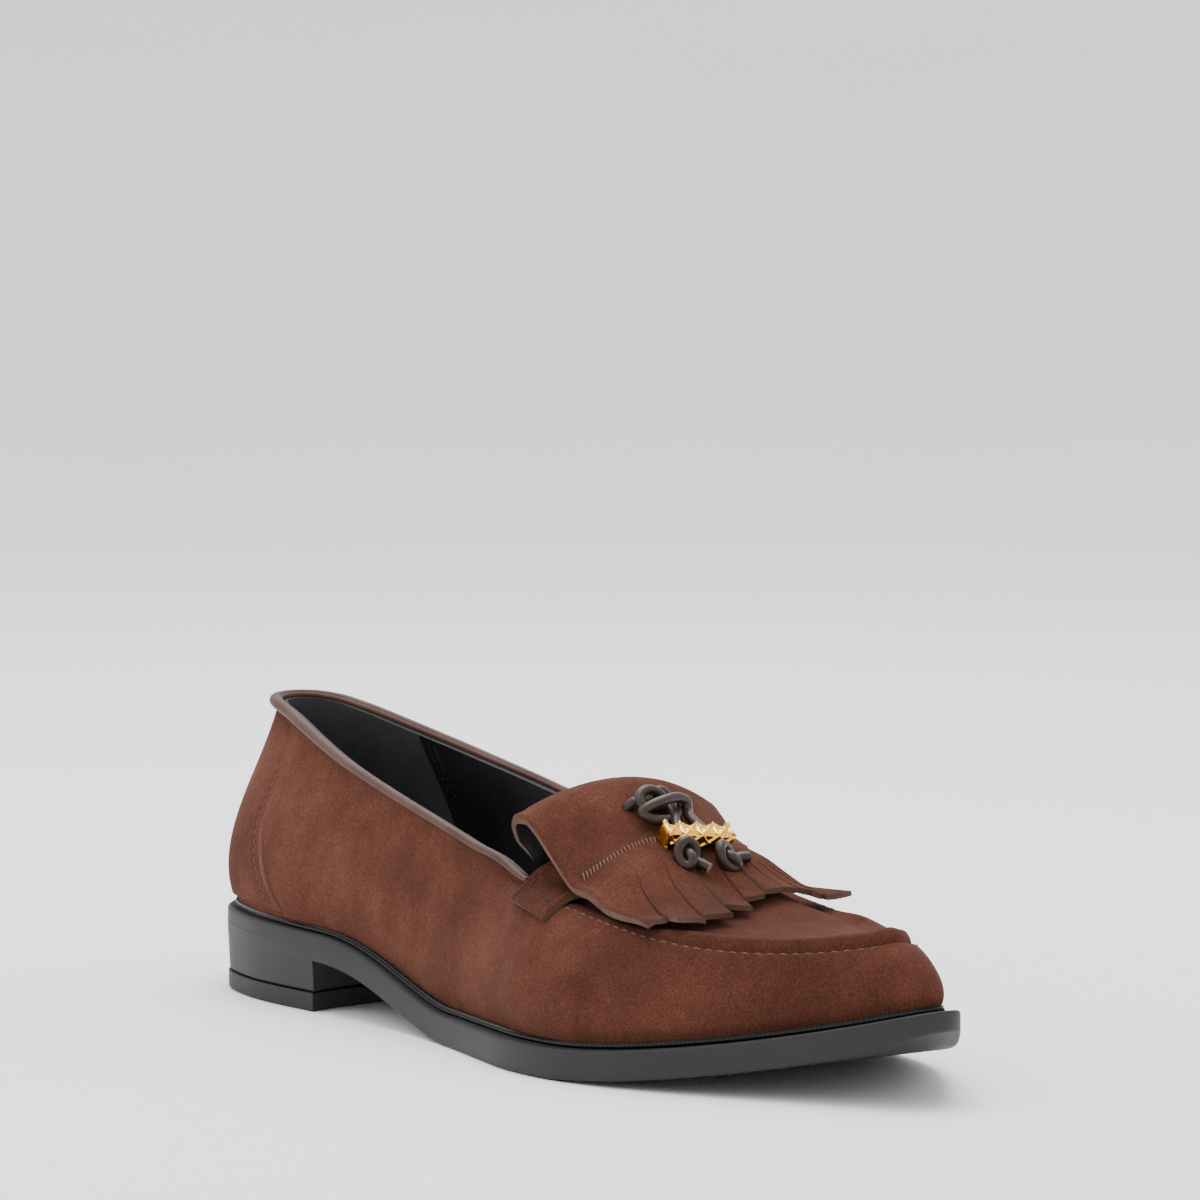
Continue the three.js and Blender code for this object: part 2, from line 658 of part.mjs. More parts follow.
const AROUND = [[0, 0], [2.4, 0], [-2.4, 0], [0, 2.6], [0, -2.6]];
const heightsNear = (x, y) => AROUND.map(([dx, dy]) => leaving(x + dx, y + dy, 0)).filter(Boolean).map((p) => p.z);

// Saddle strap: over the vamp just ahead of the throat, its two ends showing on the sides
const throatX = column(TOP, "foot", "along", throatFoot, true) * soleLength;
const strapRear = throatX + strapSetback;
const strapFront = strapRear + strapWidth;
function strapLine(y, front) {
  const reach = (2 * y) / collarWidth;
  return strapRear - strapBow * reach * reach + front * (strapWidth + strapFlare * reach * reach);
}
const strapAngle = Math.atan2(strapSpan / 2, 0.75 * instepRise);
const strapSpread = [[0, 0], [1.5, 0], [-1.5, 0], [0, 0.06], [0, -0.06]];
function strapPoint(c, b, offset) {
  const angle = c * strapAngle * mix(0.88, 1, b);
  const y = (strapSpan / 2) * Math.sin(angle) / Math.sin(strapAngle);
  const x = strapLine(y, b);
  const hits = strapSpread.map(([dx, turn]) => leaving(x + dx, 0, angle + turn)).filter(Boolean);
  const reach = Math.max(...hits.map((p) => Math.hypot(p.y, p.z))) + offset;
  return vector(x, reach * Math.sin(angle), reach * Math.cos(angle));
}
function makeStrap() {
  const across = evenly(22).map((c) => 2 * c - 1);
  const along = evenly(3);
  const grid = (offset) => along.map((b) => across.map((c) => strapPoint(c, b, offset)));
  return sheet(grid(2 * clearance + strapThickness), grid(1.5 * clearance));
}

// Folded tongue: its middle surface, then its two faces
const kiltieStations = KILTIE.map((row, step) => ({ ...row, step }));
const kiltieLast = KILTIE.length - 1;
const rootSteps = 1.6;
const foldSteps = 7;
const slitStep = 12;
const stepLength = fringeLength / (kiltieLast - slitStep);
function kiltieMiddle(step, u) {
  const value = (key) => column(kiltieStations, "step", key, step);
  const beyond = Math.max(0, step - kiltieLast) * stepLength;
  const x = value("along") * soleLength - value("back") * kiltieWidth * u * u + beyond;
  const y = (u * value("half") * (u > 0 ? value("far") : 1) * kiltieWidth) / 2;
  const curl = kiltieCurl * ease(0.66, 0.77, x / soleLength) * Math.max(0, u) ** 3;
  let z = soleTop(treadStart) + (value("rise") - value("drop") * u * u) * instepRise + curl;
  const near = heightsNear(x, y);
  const strap = (strapThickness + clearance) * (1 - ease(strapFront + 2, strapFront + 2 + flapFall, x));
  const under = wall + clearance + rootDrop;
  const over = strap + clearance + flapLift;
  if (step < rootSteps) z = Math.min(z, ...near.map((level) => level - under));
  if (step > foldSteps) z = Math.max(z, ...near.map((level) => level + over));
  return vector(x, y, z);
}
function kiltieFace(step, u, offset) {
  const p = kiltieMiddle(step, u);
  const along = kiltieMiddle(step + 0.1, u).sub(kiltieMiddle(Math.max(0, step - 0.1), u));
  const across = kiltieMiddle(step, Math.min(1, u + 0.05)).sub(kiltieMiddle(step, Math.max(-1, u - 0.05)));
  return p.addScaledVector(along.cross(across).normalize(), offset);
}

function solidOf(geometry) {
  const bare = geometry.clone();
  bare.deleteAttribute("normal");
  bare.deleteAttribute("uv");
  const merged = mergeVertices(bare, 1e-4);
  return solidFromTriangles(Array.from(merged.attributes.position.array), Array.from(merged.index.array));
}
const largest = (solid) => solid.decompose().reduce((a, b) => (b.volume() > a.volume() ? b : a));
function rod(from, to, radius) {
  const along = to.clone().sub(from);
  const geometry = new THREE.CylinderGeometry(radius, radius, along.length(), 12);
  const turn = new THREE.Quaternion().setFromUnitVectors(vector(0, 1, 0), along.clone().normalize());
  const middle = from.clone().lerp(to, 0.5);
  return solidOf(geometry.applyMatrix4(new THREE.Matrix4().compose(middle, turn, vector(1, 1, 1))));
}

// The flap at some steps, between the shares of its width that a function gives there
function flapPatch(steps, sharesAt, thickness) {
  const grid = (offset) => steps.map((step) => sharesAt(step).map((u) => kiltieFace(step, u, offset)));
  return sheet(grid(thickness / 2), grid(-thickness / 2));
}
function makeKiltie() {
  const whole = evenly(10).map((c) => 2 * c - 1);
  let flap = flapPatch(evenly(28).map((t) => t * kiltieLast), () => whole, kiltieThickness);
  const cut = (from, to, sharesAt) => {
    const places = evenly(5).map((t) => mix(from, to, t));
    flap = flap.subtract(flapPatch(places, sharesAt, 3 * kiltieThickness));
  };
  const slit = fringeSlit / kiltieWidth;
  const splay = (step) => (fringeSplay / kiltieWidth) * (step - slitStep) / (kiltieLast - slitStep);
  const past = kiltieLast + 0.2;
  FRINGE.forEach(({ start, long }, i) => {
    const end = slitStep + long * (kiltieLast - slitStep);
    const side = i === 0 ? () => start - slit : (step) => start - splay(step) - slit;
    const next = FRINGE[i + 1];
    const far = next ? (step) => next.start - splay(step) + slit : () => 1 + slit;
    cut(end, past, (step) => [side(step), far(step)]);
    if (i > 0) cut(slitStep, past, (step) => [side(step), side(step) + 2 * slit]);
  });
  return largest(flap);
}

// The cord's route over the flap, from one tail to the other: across the flap, down its slope, above it
const END_KNOT = [
  [0.5, -3.4, 2.75], [0.1, -1.5, 2.7], [-0.2, 0.9, 3.7], [-0.4, 2.5, 3.2], [-1.2, 2.9, 2.1], [-2.2, 1.4, 2],
  [-2.3, -0.6, 3], [-1.2, -2, 4.5], [0.6, -2.1, 4.8], [2.1, -0.8, 3.8], [2, 0.8, 2.3], [1.3, 1.9, 2.4],
  [2, 3.4, 2.8], [2.8, 4.9, 3],
];
const TOP_KNOT = [
  [-2.6, 12.2, 2.75], [-1.7, 9.5, 2.75], [-0.2, 6.3, 2.6], [1, 3.4, 2], [1.2, 0.6, 1.9], [0, -1.7, 2.8],
  [-2.9, -2.5, 3.3], [-5.3, -1.4, 2.5], [-5.4, 0.7, 1.8], [-2.2, 1.3, 1.8], [2, 1.2, 1.8], [4.6, 0.9, 1.2],
  [5.1, 0.7, -1.2], [3.2, 0.3, -4], [-1.2, -0.5, -3.9], [-5.6, -1, -4], [-7.6, -1.1, -1.2],
  [-6.6, -1, 1.2], [-3.6, -0.9, 1.8], [-0.6, -2.7, 2], [1.9, -2.8, 2.3], [3, -0.4, 1.8], [2.9, 2.8, 1.8],
  [1.2, 5.3, 1.8], [-2, 6, 1.8], [-5.7, 5, 1.7], [-7.3, 3.6, 2.3], [-5.4, 3.1, 3.7], [-1.6, 2.7, 4.8],
  [2.2, 2.1, 4.7], [4.9, 2.4, 3.6], [5, 3.8, 2.2], [4.1, 6.2, 2.4], [4.6, 10.2, 2.75], [5.3, 13, 2.75],
];
const NEAR_KNOT = { across: -4, down: 18.2, turn: 0 };
const FAR_KNOT = { across: 5.6, down: 19.9, turn: -0.9 };
const BAR = { across: 1.6, down: 12.75, above: 2.9, turn: 0.14 };

const knotStep = 9;
const slopeStep = 12;
const flapTop = kiltieFace(knotStep, 0, kiltieThickness / 2);
const flapDown = kiltieFace(slopeStep, 0, kiltieThickness / 2).sub(flapTop).normalize();
const flapAcross = vector(0, 1, 0);
const flapAbove = flapDown.clone().cross(flapAcross).normalize();
const onFlap = ([across, down, above]) => flapTop.clone()
  .addScaledVector(flapAcross, across)
  .addScaledVector(flapDown, down)
  .addScaledVector(flapAbove, above);
function endKnot({ across, down, turn }) {
  return END_KNOT.map(([a, b, c], i) => {
    const share = turn * clamp01(i / 4);
    const [sin, cos] = [Math.sin(share), Math.cos(share)];
    return [across + a * cos - b * sin, down + a * sin + b * cos, c];
  });
}
const route = new THREE.CatmullRomCurve3([
  ...endKnot(NEAR_KNOT).reverse(),
  ...TOP_KNOT,
  ...endKnot(FAR_KNOT),
].map(onFlap), false, "centripetal");

class Stretch extends THREE.Curve {
  constructor(curve, from, to) {
    super();
    this.curve = curve;
    this.from = from;
    this.to = to;
  }
  getPoint(t, target = new THREE.Vector3()) {
    return this.curve.getPoint(mix(this.from, this.to, t), target);
  }
}

// The cord in short stretches, joined where they overlap, so that it can cross itself
const cordStretches = 12;
const cordSides = 8;
function makeCord() {
  const section = new THREE.Shape();
  section.absarc(0, 0, cordDiameter / 2, 0, 2 * Math.PI);
  const lap = 0.003;
  const pieces = Array.from({ length: cordStretches }, (_, i) => {
    const from = Math.max(0, i / cordStretches - lap);
    const to = Math.min(1, (i + 1) / cordStretches + lap);
    return solidOf(new THREE.ExtrudeGeometry(section, {
      steps: 5,
      curveSegments: cordSides / 2,
      extrudePath: new Stretch(route, from, to),
    }));
  });
  return largest(wasm.Manifold.union(pieces));
}

// Hole of the flap where the cord passes through it, at a point of its route
function cordHole(index) {
  const [across, down] = TOP_KNOT[index];
  const reach = kiltieThickness * 1.6;
  return rod(onFlap([across, down, -reach]), onFlap([across, down, reach / 2]), cordDiameter / 2 + 2 * clearance);
}

// Bar that both ends of the cord run through: its section swells and narrows along its length
function makeBar() {
  const { across, down, above, turn } = BAR;
  const along = [Math.cos(turn), Math.sin(turn)];
  const place = (a, b, c) => onFlap([across + a * along[0] - b * along[1], down + a * along[1] + b * along[0], above + c]);
  const stations = evenly(10);
  const rings = stations.map((t, i) => {
    const radius = (i % 2 === 0 ? barDiameter : barWaist) / 2;
    return evenly(8).slice(1).map((q) => {
      const angle = 2 * Math.PI * (q + 1 / 16);
      return place((t - 0.5) * barLength, radius * Math.cos(angle), radius * Math.sin(angle));
    });
  });
  const body = tube(rings, false);
  const hole = (from, to) => rod(onFlap(from), onFlap(to), cordDiameter / 2 + 2 * pieceGap);
  const last = TOP_KNOT.length - 1;
  return body
    .subtract(hole(TOP_KNOT[1], endKnot(NEAR_KNOT)[0]))
    .subtract(hole(TOP_KNOT[last - 1], endKnot(FAR_KNOT)[0]));
}

const solids = {
  outsole: makeOutsole(),
  top_lift: makeTopLift(),
  welt: makeWelt(),
  insole: makeInsole(),
  upper: makeUpper(),
  back_stay: makeBackStay(),
  collar_binding: makeBinding(),
  saddle_strap: makeStrap(),
  kiltie: makeKiltie().subtract(cordHole(16)).subtract(cordHole(12)),
  metal_bar: makeBar(),
  tassel_cord: makeCord(),
};

const FINISH = {
  outsole: { color: 0x3f3f41, roughness: 0.55, metalness: 0 },
  top_lift: { color: 0x39393b, roughness: 0.6, metalness: 0 },
  welt: { color: 0x1c1a1a, roughness: 0.7, metalness: 0 },
  insole: { color: 0x1d1c1c, roughness: 0.8, metalness: 0 },
  upper: { color: 0x7d4432, roughness: 0.95, metalness: 0 },
  back_stay: { color: 0x744031, roughness: 0.95, metalness: 0 },
  collar_binding: { color: 0x8a7068, roughness: 0.6, metalness: 0 },
  saddle_strap: { color: 0x7a4232, roughness: 0.95, metalness: 0 },
  kiltie: { color: 0x7d4432, roughness: 0.95, metalness: 0 },
  metal_bar: { color: 0xd9a93a, roughness: 0.3, metalness: 1 },
  tassel_cord: { color: 0x50413a, roughness: 0.45, metalness: 0 },
};

function meshOf(name, solid) {
  const { numProp, vertProperties, triVerts } = solid.getMesh();
  const geometry = new THREE.BufferGeometry();
  geometry.setAttribute("position", new THREE.BufferAttribute(vertProperties, numProp));
  geometry.setIndex(new THREE.BufferAttribute(triVerts, 1));
  geometry.computeVertexNormals();
  const mesh = new THREE.Mesh(geometry, new THREE.MeshStandardMaterial(FINISH[name]));
  mesh.name = name;
  return mesh;
}

// The part's origin: the middle of its footprint, on the floor
const whole = new THREE.Box3();
const shoe = new THREE.Group();
for (const [name, solid] of Object.entries(solids)) {
  const mesh = meshOf(name, solid);
  if (name !== "tassel_cord") whole.expandByObject(mesh);
  shoe.add(mesh);
}
const middle = whole.getCenter(vector(0, 0, 0));
for (const mesh of shoe.children) mesh.geometry.translate(-middle.x, -middle.y, -whole.min.z);

export default shoe;
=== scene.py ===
# A right suede loafer with a fringed tongue, a knotted cord and a metal bar, dressed over its solids.
# Sizes are millimetres in the source's frame, X forward from the back of the heel,
# until metres() moves them.
import math
import bmesh
import bpy
import numpy as np
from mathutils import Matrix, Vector
from mathutils.bvhtree import BVHTree


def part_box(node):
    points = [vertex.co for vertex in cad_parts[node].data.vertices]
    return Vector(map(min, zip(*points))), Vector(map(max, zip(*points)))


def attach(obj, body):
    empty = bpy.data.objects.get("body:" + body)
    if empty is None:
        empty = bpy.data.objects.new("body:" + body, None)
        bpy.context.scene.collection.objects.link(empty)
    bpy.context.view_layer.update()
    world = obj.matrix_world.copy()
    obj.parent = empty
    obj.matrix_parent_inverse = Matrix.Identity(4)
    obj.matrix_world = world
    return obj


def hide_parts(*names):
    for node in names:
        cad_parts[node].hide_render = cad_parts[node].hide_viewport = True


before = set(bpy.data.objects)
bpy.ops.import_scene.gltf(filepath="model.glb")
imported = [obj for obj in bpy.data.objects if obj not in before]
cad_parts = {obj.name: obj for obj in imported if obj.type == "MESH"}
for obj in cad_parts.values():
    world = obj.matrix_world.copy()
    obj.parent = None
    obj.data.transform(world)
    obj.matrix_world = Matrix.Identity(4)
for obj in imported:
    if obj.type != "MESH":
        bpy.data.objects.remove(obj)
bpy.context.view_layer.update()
chance = np.random.default_rng(7)

# Driving sizes, repeated from the source
SOLE_LENGTH = 259
HEEL_WIDTH = 56
WAIST_WIDTH = 52
BALL_WIDTH = 85
SOLE_THICKNESS = 6.6
HEEL_LENGTH = 62
BREAST_HOLLOW = 5
TOP_LIFT = 4.2
ARCH_HEIGHT = 11.6
SEAT_SLOPE = 0.03
TREAD_START = 124
TREAD_END = 174
TOE_SPRING = 14.1
SPRING_POWER = 1.7
TOE_ROLL = 2
WALL = 2
PIECE_GAP = 0.3
CLEARANCE = 0.45
HEEL_MARGIN = 2.3
BALL_MARGIN = 3.9
WELT_HEIGHT = 1.2
INSOLE_THICKNESS = 2.6
BACK_RISE = 51.2
INSTEP_RISE = 40.4
COLLAR_WIDTH = 49
APRON_WIDTH = 57
HEEL_BULGE = 2.6
BALL_BULGE = 2.4
RIDGE_WIDTH = 6
RIDGE_HEIGHT = 2.9
HIDDEN_RIDGE = 0.15
BINDING_WIDTH = 3.6
BINDING_HEIGHT = 3
BINDING_END = 0.54
RIM_DROP = BINDING_HEIGHT - PIECE_GAP
STRAP_THICKNESS = 1.5
STRAP_WIDTH = 14
STRAP_SPAN = 64
STRAP_BOW = 7.7
STRAP_FLARE = 3.6
STRAP_SETBACK = 2
FLAP_THICKNESS = 1.8
FLAP_WIDTH = 58
FLAP_CURL = 4
ROOT_DROP = 2
FLAP_LIFT = 1.26
FRINGE_SPLAY = 16.2
CORD_DIAMETER = 2.4
BAR_LENGTH = 17
BAR_DIAMETER = 4.4
WALL_SHARE = 0.85
THROAT_FOOT = 0.68
HEEL_CENTRE = 0.04
TOE_CENTRE = -0.014

# Sizes of the dress alone. FLAP_FALL is longer than the source's,
# so that the flap's edge runs straighter
RIM_TUCK = 1.4
BINDING_SLIM = (0.88, 0.9)
BINDING_OVERLAP = 0.016
STAY_RAISED = 0.45
STAY_SUNK = 0.2
STRAP_RAISED = CLEARANCE + STRAP_THICKNESS - 0.5
STRAP_SUNK = 0.1
FLAP_FALL = 9
FRINGE_SLIT = 0.2
TIP_LIFT = (0.05, 0.3)
TIP_TWIST = 0.2
TIP_CUP = 0.15
TIP_THINNED = 0.7
SHINGLE = 0.13
FLAP_THREAD = 0.24
STAY_STITCH = {"long": 1.7, "gap": 0.7, "radius": 0.22}
COLLAR_STITCH = {"long": 1.9, "gap": 0.8, "radius": 0.2}
STRAP_STITCH = {"long": 1.8, "gap": 0.8, "radius": 0.22}
APRON_STITCH = {"long": 1.7, "gap": 1.2, "radius": 0.19}


def table(names, rows):
    """A short table as arrays with the names of its columns."""
    return dict(zip(names.split(), np.array(rows, float).T))


OUTLINE = table("along size lateral medial", [
    (0.008, HEEL_WIDTH, 0.1, 0.18),
    (0.024, HEEL_WIDTH, 0.23, 0.29),
    (0.056, HEEL_WIDTH, 0.357, 0.41),
    (0.12, HEEL_WIDTH, 0.452, 0.493),
    (0.18, HEEL_WIDTH, 0.484, 0.516),
    (0.24, HEEL_WIDTH, 0.4875, 0.503),
    (0.32, WAIST_WIDTH, 0.525, 0.477),
    (0.4, WAIST_WIDTH, 0.565, 0.433),
    (0.48, BALL_WIDTH, 0.393, 0.288),
    (0.56, BALL_WIDTH, 0.456, 0.37),
    (0.62, BALL_WIDTH, 0.501, 0.438),
    (0.68, BALL_WIDTH, 0.509, 0.482),
    (0.72, BALL_WIDTH, 0.489, 0.492),
    (0.76, BALL_WIDTH, 0.453, 0.474),
    (0.82, BALL_WIDTH, 0.373, 0.414),
    (0.88, BALL_WIDTH, 0.275, 0.309),
    (0.94, BALL_WIDTH, 0.176, 0.178),
    (0.982, BALL_WIDTH, 0.108, 0.08),
    (0.995, BALL_WIDTH, 0.069, 0.04),
])
# The last two rows stand higher than the source's, to fill a dip at the apron's tip
TOP = table("foot along out rise size", [
    (0, 0.0413, 0, 0.9936, BACK_RISE),
    (0.03, 0.0463, 0.188, 0.9925, BACK_RISE),
    (0.07, 0.0676, 0.335, 0.9886, BACK_RISE),
    (0.12, 0.1004, 0.42, 0.9754, BACK_RISE),
    (0.2, 0.17, 0.588, 0.9296, BACK_RISE),
    (0.28, 0.247, 0.743, 0.8803, BACK_RISE),
    (0.36, 0.336, 0.849, 0.8315, BACK_RISE),
    (0.44, 0.4286, 0.914, 0.779, BACK_RISE),
    (0.5, 0.502, 0.955, 0.7285, BACK_RISE),
    (0.555, 0.562, 1, 0.6641, BACK_RISE),
    (0.6, 0.585, 0.694, 0.93, INSTEP_RISE),
    (0.64, 0.5927, 0.327, 0.985, INSTEP_RISE),
    (0.68, 0.5946, 0, 1, INSTEP_RISE),
    (0.72, 0.649, 0, 0.845, INSTEP_RISE),
    (0.78, 0.724, 0, 0.655, INSTEP_RISE),
    (0.84, 0.791, 0, 0.573, INSTEP_RISE),
    (0.9, 0.85, 0, 0.505, INSTEP_RISE),
    (0.95, 0.884, 0, 0.465, INSTEP_RISE),
    (1, 0.905, 0, 0.461, INSTEP_RISE),
])
SEAM = table("foot along out rise size", [
    (0.48, 0.52, 1.03, 0.75, INSTEP_RISE),
    (0.555, 0.591, 1.028, 0.728, INSTEP_RISE),
    (0.6, 0.633, 1.004, 0.708, INSTEP_RISE),
    (0.64, 0.672, 0.996, 0.674, INSTEP_RISE),
    (0.68, 0.71, 0.989, 0.63, INSTEP_RISE),
    (0.72, 0.749, 0.954, 0.575, INSTEP_RISE),
    (0.78, 0.807, 0.8, 0.493, INSTEP_RISE),
    (0.84, 0.857, 0.582, 0.44, INSTEP_RISE),
    (0.9, 0.898, 0.393, 0.412, INSTEP_RISE),
    (0.95, 0.923, 0.204, 0.405, INSTEP_RISE),
    (1, 0.934, 0, 0.412, INSTEP_RISE),
])
RIDGE = table("across up", [(0, 0), (0.08, 0.5), (0.27, 0.93), (0.5, 1), (0.73, 0.8), (1, 0.62)])
STAY = table("up foot", [
    (0, 0.215), (0.11, 0.2), (0.32, 0.177), (0.5, 0.163), (0.75, 0.159), (0.91, 0.138), (1, 0.12),
])
TONGUE = table("along rise half far drop back", [
    (0.627, 0.872, 0.7, 0.9, 0.13, 0.112),
    (0.601, 0.89, 0.7, 0.9, 0.13, 0.121),
    (0.583, 0.975, 0.74, 0.88, 0.135, 0.11),
    (0.5725, 1.075, 0.86, 0.84, 0.145, 0.052),
    (0.5615, 1.175, 0.95, 0.8, 0.163, 0.017),
    (0.558, 1.25, 0.985, 0.78, 0.173, 0),
    (0.5635, 1.296, 1, 0.77, 0.173, 0),
    (0.5755, 1.299, 1, 0.76, 0.173, 0),
    (0.5925, 1.247, 1, 0.75, 0.18, 0),
    (0.612, 1.156, 1, 0.73, 0.193, 0),
    (0.6315, 1.056, 1, 0.71, 0.198, 0),
    (0.6505, 0.95, 1, 0.64, 0.173, 0),
    (0.672, 0.853, 1, 0.7, 0.126, 0),
    (0.695, 0.78, 1, 0.9, 0.08, 0),
    (0.722, 0.718, 1.01, 1.03, 0.065, 0),
    (0.7475, 0.678, 1.02, 1.09, 0.06, 0),
    (0.775, 0.655, 1.02, 1.09, 0.06, 0),
])
TONGUE["step"] = np.arange(len(TONGUE["along"]), dtype=float)
LAST_STEP = TONGUE["step"][-1]
FRINGE = table("start long", [
    (-1, 0.8), (-0.6, 0.99), (-0.34, 0.94), (-0.07, 0.75), (0.2, 0.57),
    (0.38, 0.53), (0.55, 0.5), (0.7, 0.5), (0.83, 0.53), (0.93, 0.57),
])


def mix(a, b, t):
    return a + (b - a) * t


def ease(start, end, x):
    t = np.clip((x - start) / (end - start), 0, 1)
    return t * t * (3 - 2 * t)


def bell(x, centre, width):
    return np.exp(-(((x - centre) / width) ** 2))


def crowded(count):
    """Shares from 0 to 1 that lie closer together near both ends."""
    share = np.linspace(0, 1, count)
    return mix(share, (1 - np.cos(math.pi * share)) / 2, 0.55)


def column(places, values, at, flat_ends=False):
    """Smooth value of a table column at some places: a cubic that never overshoots its rows."""
    gaps = np.diff(places)
    slopes = np.diff(values) / gaps
    tangents = np.zeros(len(places))
    if not flat_ends:
        tangents[0], tangents[-1] = slopes[0], slopes[-1]
    before, after = slopes[:-1], slopes[1:]
    rising = before * after > 0
    tangents[1:-1][rising] = 2 * (before * after)[rising] / (before + after)[rising]
    p = np.clip(at, places[0], places[-1])
    i = np.clip(np.searchsorted(places, p) - 1, 0, len(gaps) - 1)
    h = gaps[i]
    t = (p - places[i]) / h
    held = values[i] * (1 + 2 * t) * (1 - t) ** 2 + values[i + 1] * t * t * (3 - 2 * t)
    return held + tangents[i] * h * t * (1 - t) ** 2 + tangents[i + 1] * h * t * t * (t - 1)


def centripetal(points, closed, pieces):
    """A smooth curve through points, as a line with so many pieces between two of them."""
    p = np.array(points, float)
    if closed:
        a, b, c, d = np.roll(p, 1, 0), p, np.roll(p, -1, 0), np.roll(p, -2, 0)
    else:
        whole = np.vstack([2 * p[0] - p[1], p, 2 * p[-1] - p[-2]])
        a, b, c, d = whole[:-3], whole[1:-2], whole[2:-1], whole[3:]
    pairs = ((a, b), (b, c), (c, d))
    before, here, after = (np.linalg.norm(v - u, axis=1, keepdims=True) ** 0.5 for u, v in pairs)
    leave = ((b - a) / before - (c - a) / (before + here) + (c - b) / here) * here
    reach = ((c - b) / here - (d - b) / (here + after) + (d - c) / after) * here
    t = (np.arange(pieces) / pieces)[None, :, None]
    b, c, leave, reach = (v[:, None] for v in (b, c, leave, reach))
    line = b * (1 + 2 * t) * (1 - t) ** 2 + c * t * t * (3 - 2 * t)
    line = (line + leave * t * (1 - t) ** 2 + reach * t * t * (t - 1)).reshape(-1, p.shape[1])
    return line if closed else np.vstack([line, p[-1:]])


def points_of(x, y, z):
    return np.stack(np.broadcast_arrays(x, y, z), -1).astype(float)


# The outline as one loop from the heel round the lateral side to the toe and back along the medial side
LATERAL = np.column_stack([OUTLINE["along"] * SOLE_LENGTH, -OUTLINE["size"] * OUTLINE["lateral"]])
MEDIAL = np.column_stack([OUTLINE["along"] * SOLE_LENGTH, OUTLINE["size"] * OUTLINE["medial"]])
HEEL_END = (0, HEEL_CENTRE * HEEL_WIDTH)
TOE_END = (SOLE_LENGTH, TOE_CENTRE * BALL_WIDTH)
LOOP = centripetal(np.vstack([[HEEL_END], LATERAL, [TOE_END], MEDIAL[::-1]]), True, 60)
LOOP_AHEAD = np.roll(LOOP, -9, 0) - np.roll(LOOP, 9, 0)
LOOP_OUT = np.column_stack([LOOP_AHEAD[:, 1], -LOOP_AHEAD[:, 0]])
LOOP_OUT /= np.linalg.norm(LOOP_OUT, axis=1, keepdims=True)
LOOP_STEPS = np.linalg.norm(np.diff(LOOP, axis=0, append=LOOP[:1]), axis=1)
LOOP_REACH = np.concatenate([[0], np.cumsum(LOOP_STEPS)])
TOE_REACH = LOOP_REACH[len(LOOP) // 2]


def outline_at(side, foot, inset):
    """Points of the outline and its directions out, at shares of the way from heel to toe on either side."""
    share = np.clip(foot, 0, 1)
    reach = np.where(side < 0, share * TOE_REACH, LOOP_REACH[-1] - share * (LOOP_REACH[-1] - TOE_REACH))
    loop = np.vstack([LOOP, LOOP[:1]])
    out = np.vstack([LOOP_OUT, LOOP_OUT[:1]])
    x, y = (np.interp(reach, LOOP_REACH, loop[:, k]) for k in (0, 1))
    out_x, out_y = (np.interp(reach, LOOP_REACH, out[:, k]) for k in (0, 1))
    return x - out_x * inset, y - out_y * inset, out_x, out_y


def between_edges(feet, inset, c):
    """Points across the sole, from its lateral edge at 0 to its medial edge at 1."""
    a, b = (np.stack(outline_at(side, feet, inset)[:2], -1)[:, None] for side in (-1, 1))
    return mix(a, b, c[None, :, None])


# The frame's middle in the source's frame, from where the outsole lies in the box
sole_low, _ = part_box("outsole")
TO_MIDDLE = np.array([-sole_low.x * 1000, LOOP[:, 1].min() - sole_low.y * 1000, 0])


def metres(points):
    return (np.asarray(points, float) - TO_MIDDLE) / 1000


def underside(x):
    seat = ARCH_HEIGHT + (HEEL_LENGTH - x) * SEAT_SLOPE
    arch = np.where(x < HEEL_LENGTH, seat, ARCH_HEIGHT * (1 - ease(HEEL_LENGTH, TREAD_START, x)))
    spring = TOE_SPRING * np.clip((x - TREAD_END) / (SOLE_LENGTH - TREAD_END), 0, 1) ** SPRING_POWER
    return arch + spring + TOE_ROLL * ease(0.94 * SOLE_LENGTH, SOLE_LENGTH, x)


def sole_top(x):
    return underside(x) - TOE_ROLL * ease(0.94 * SOLE_LENGTH, SOLE_LENGTH, x) + SOLE_THICKNESS


def foot_line(x):
    """A straight line from the heel seat to the tread, from which the upper's heights count."""
    seat, tread = sole_top(np.array(0.0)), sole_top(np.array(float(TREAD_START)))
    return np.where(x < TREAD_START, mix(seat, tread, x / TREAD_START), sole_top(x))


def margin(foot):
    return mix(HEEL_MARGIN, BALL_MARGIN, ease(0.2, 0.6, foot))


def table_point(rows, side, foot, width):
    x = column(rows["foot"], rows["along"], foot, True) * SOLE_LENGTH
    shift = HEEL_CENTRE * HEEL_WIDTH * (1 - np.clip(2 * x / SOLE_LENGTH, 0, 1))
    y = shift + side * column(rows["foot"], rows["out"], foot) * width / 2
    z = foot_line(x) + column(rows["foot"], rows["rise"] * rows["size"], foot, True)
    return points_of(x, y, z)


def collar_lean(v):
    return v**1.6


def shoulder_lean(v):
    return 1 - (1 - v**1.8) ** (1 / 1.8)


def wall_point(side, foot, end, v, lean):
    """A point of the upper's wall, a share v of the way from its foot to the end of its rib."""
    x, y, out_x, out_y = outline_at(side, foot, margin(foot))
    bulge = mix(HEEL_BULGE, BALL_BULGE, ease(0.1, 0.5, foot)) * (1 - 0.75 * ease(0.8, 1, foot))
    hump = bulge * 6.75 * v * (1 - v) ** 2
    base = sole_top(x) + PIECE_GAP + WELT_HEIGHT + 0.4
    share = lean(v)
    return points_of(
        mix(x, end[..., 0], share) + out_x * hump,
        mix(y, end[..., 1], share) + out_y * hump,
        mix(base, end[..., 2], v),
    )


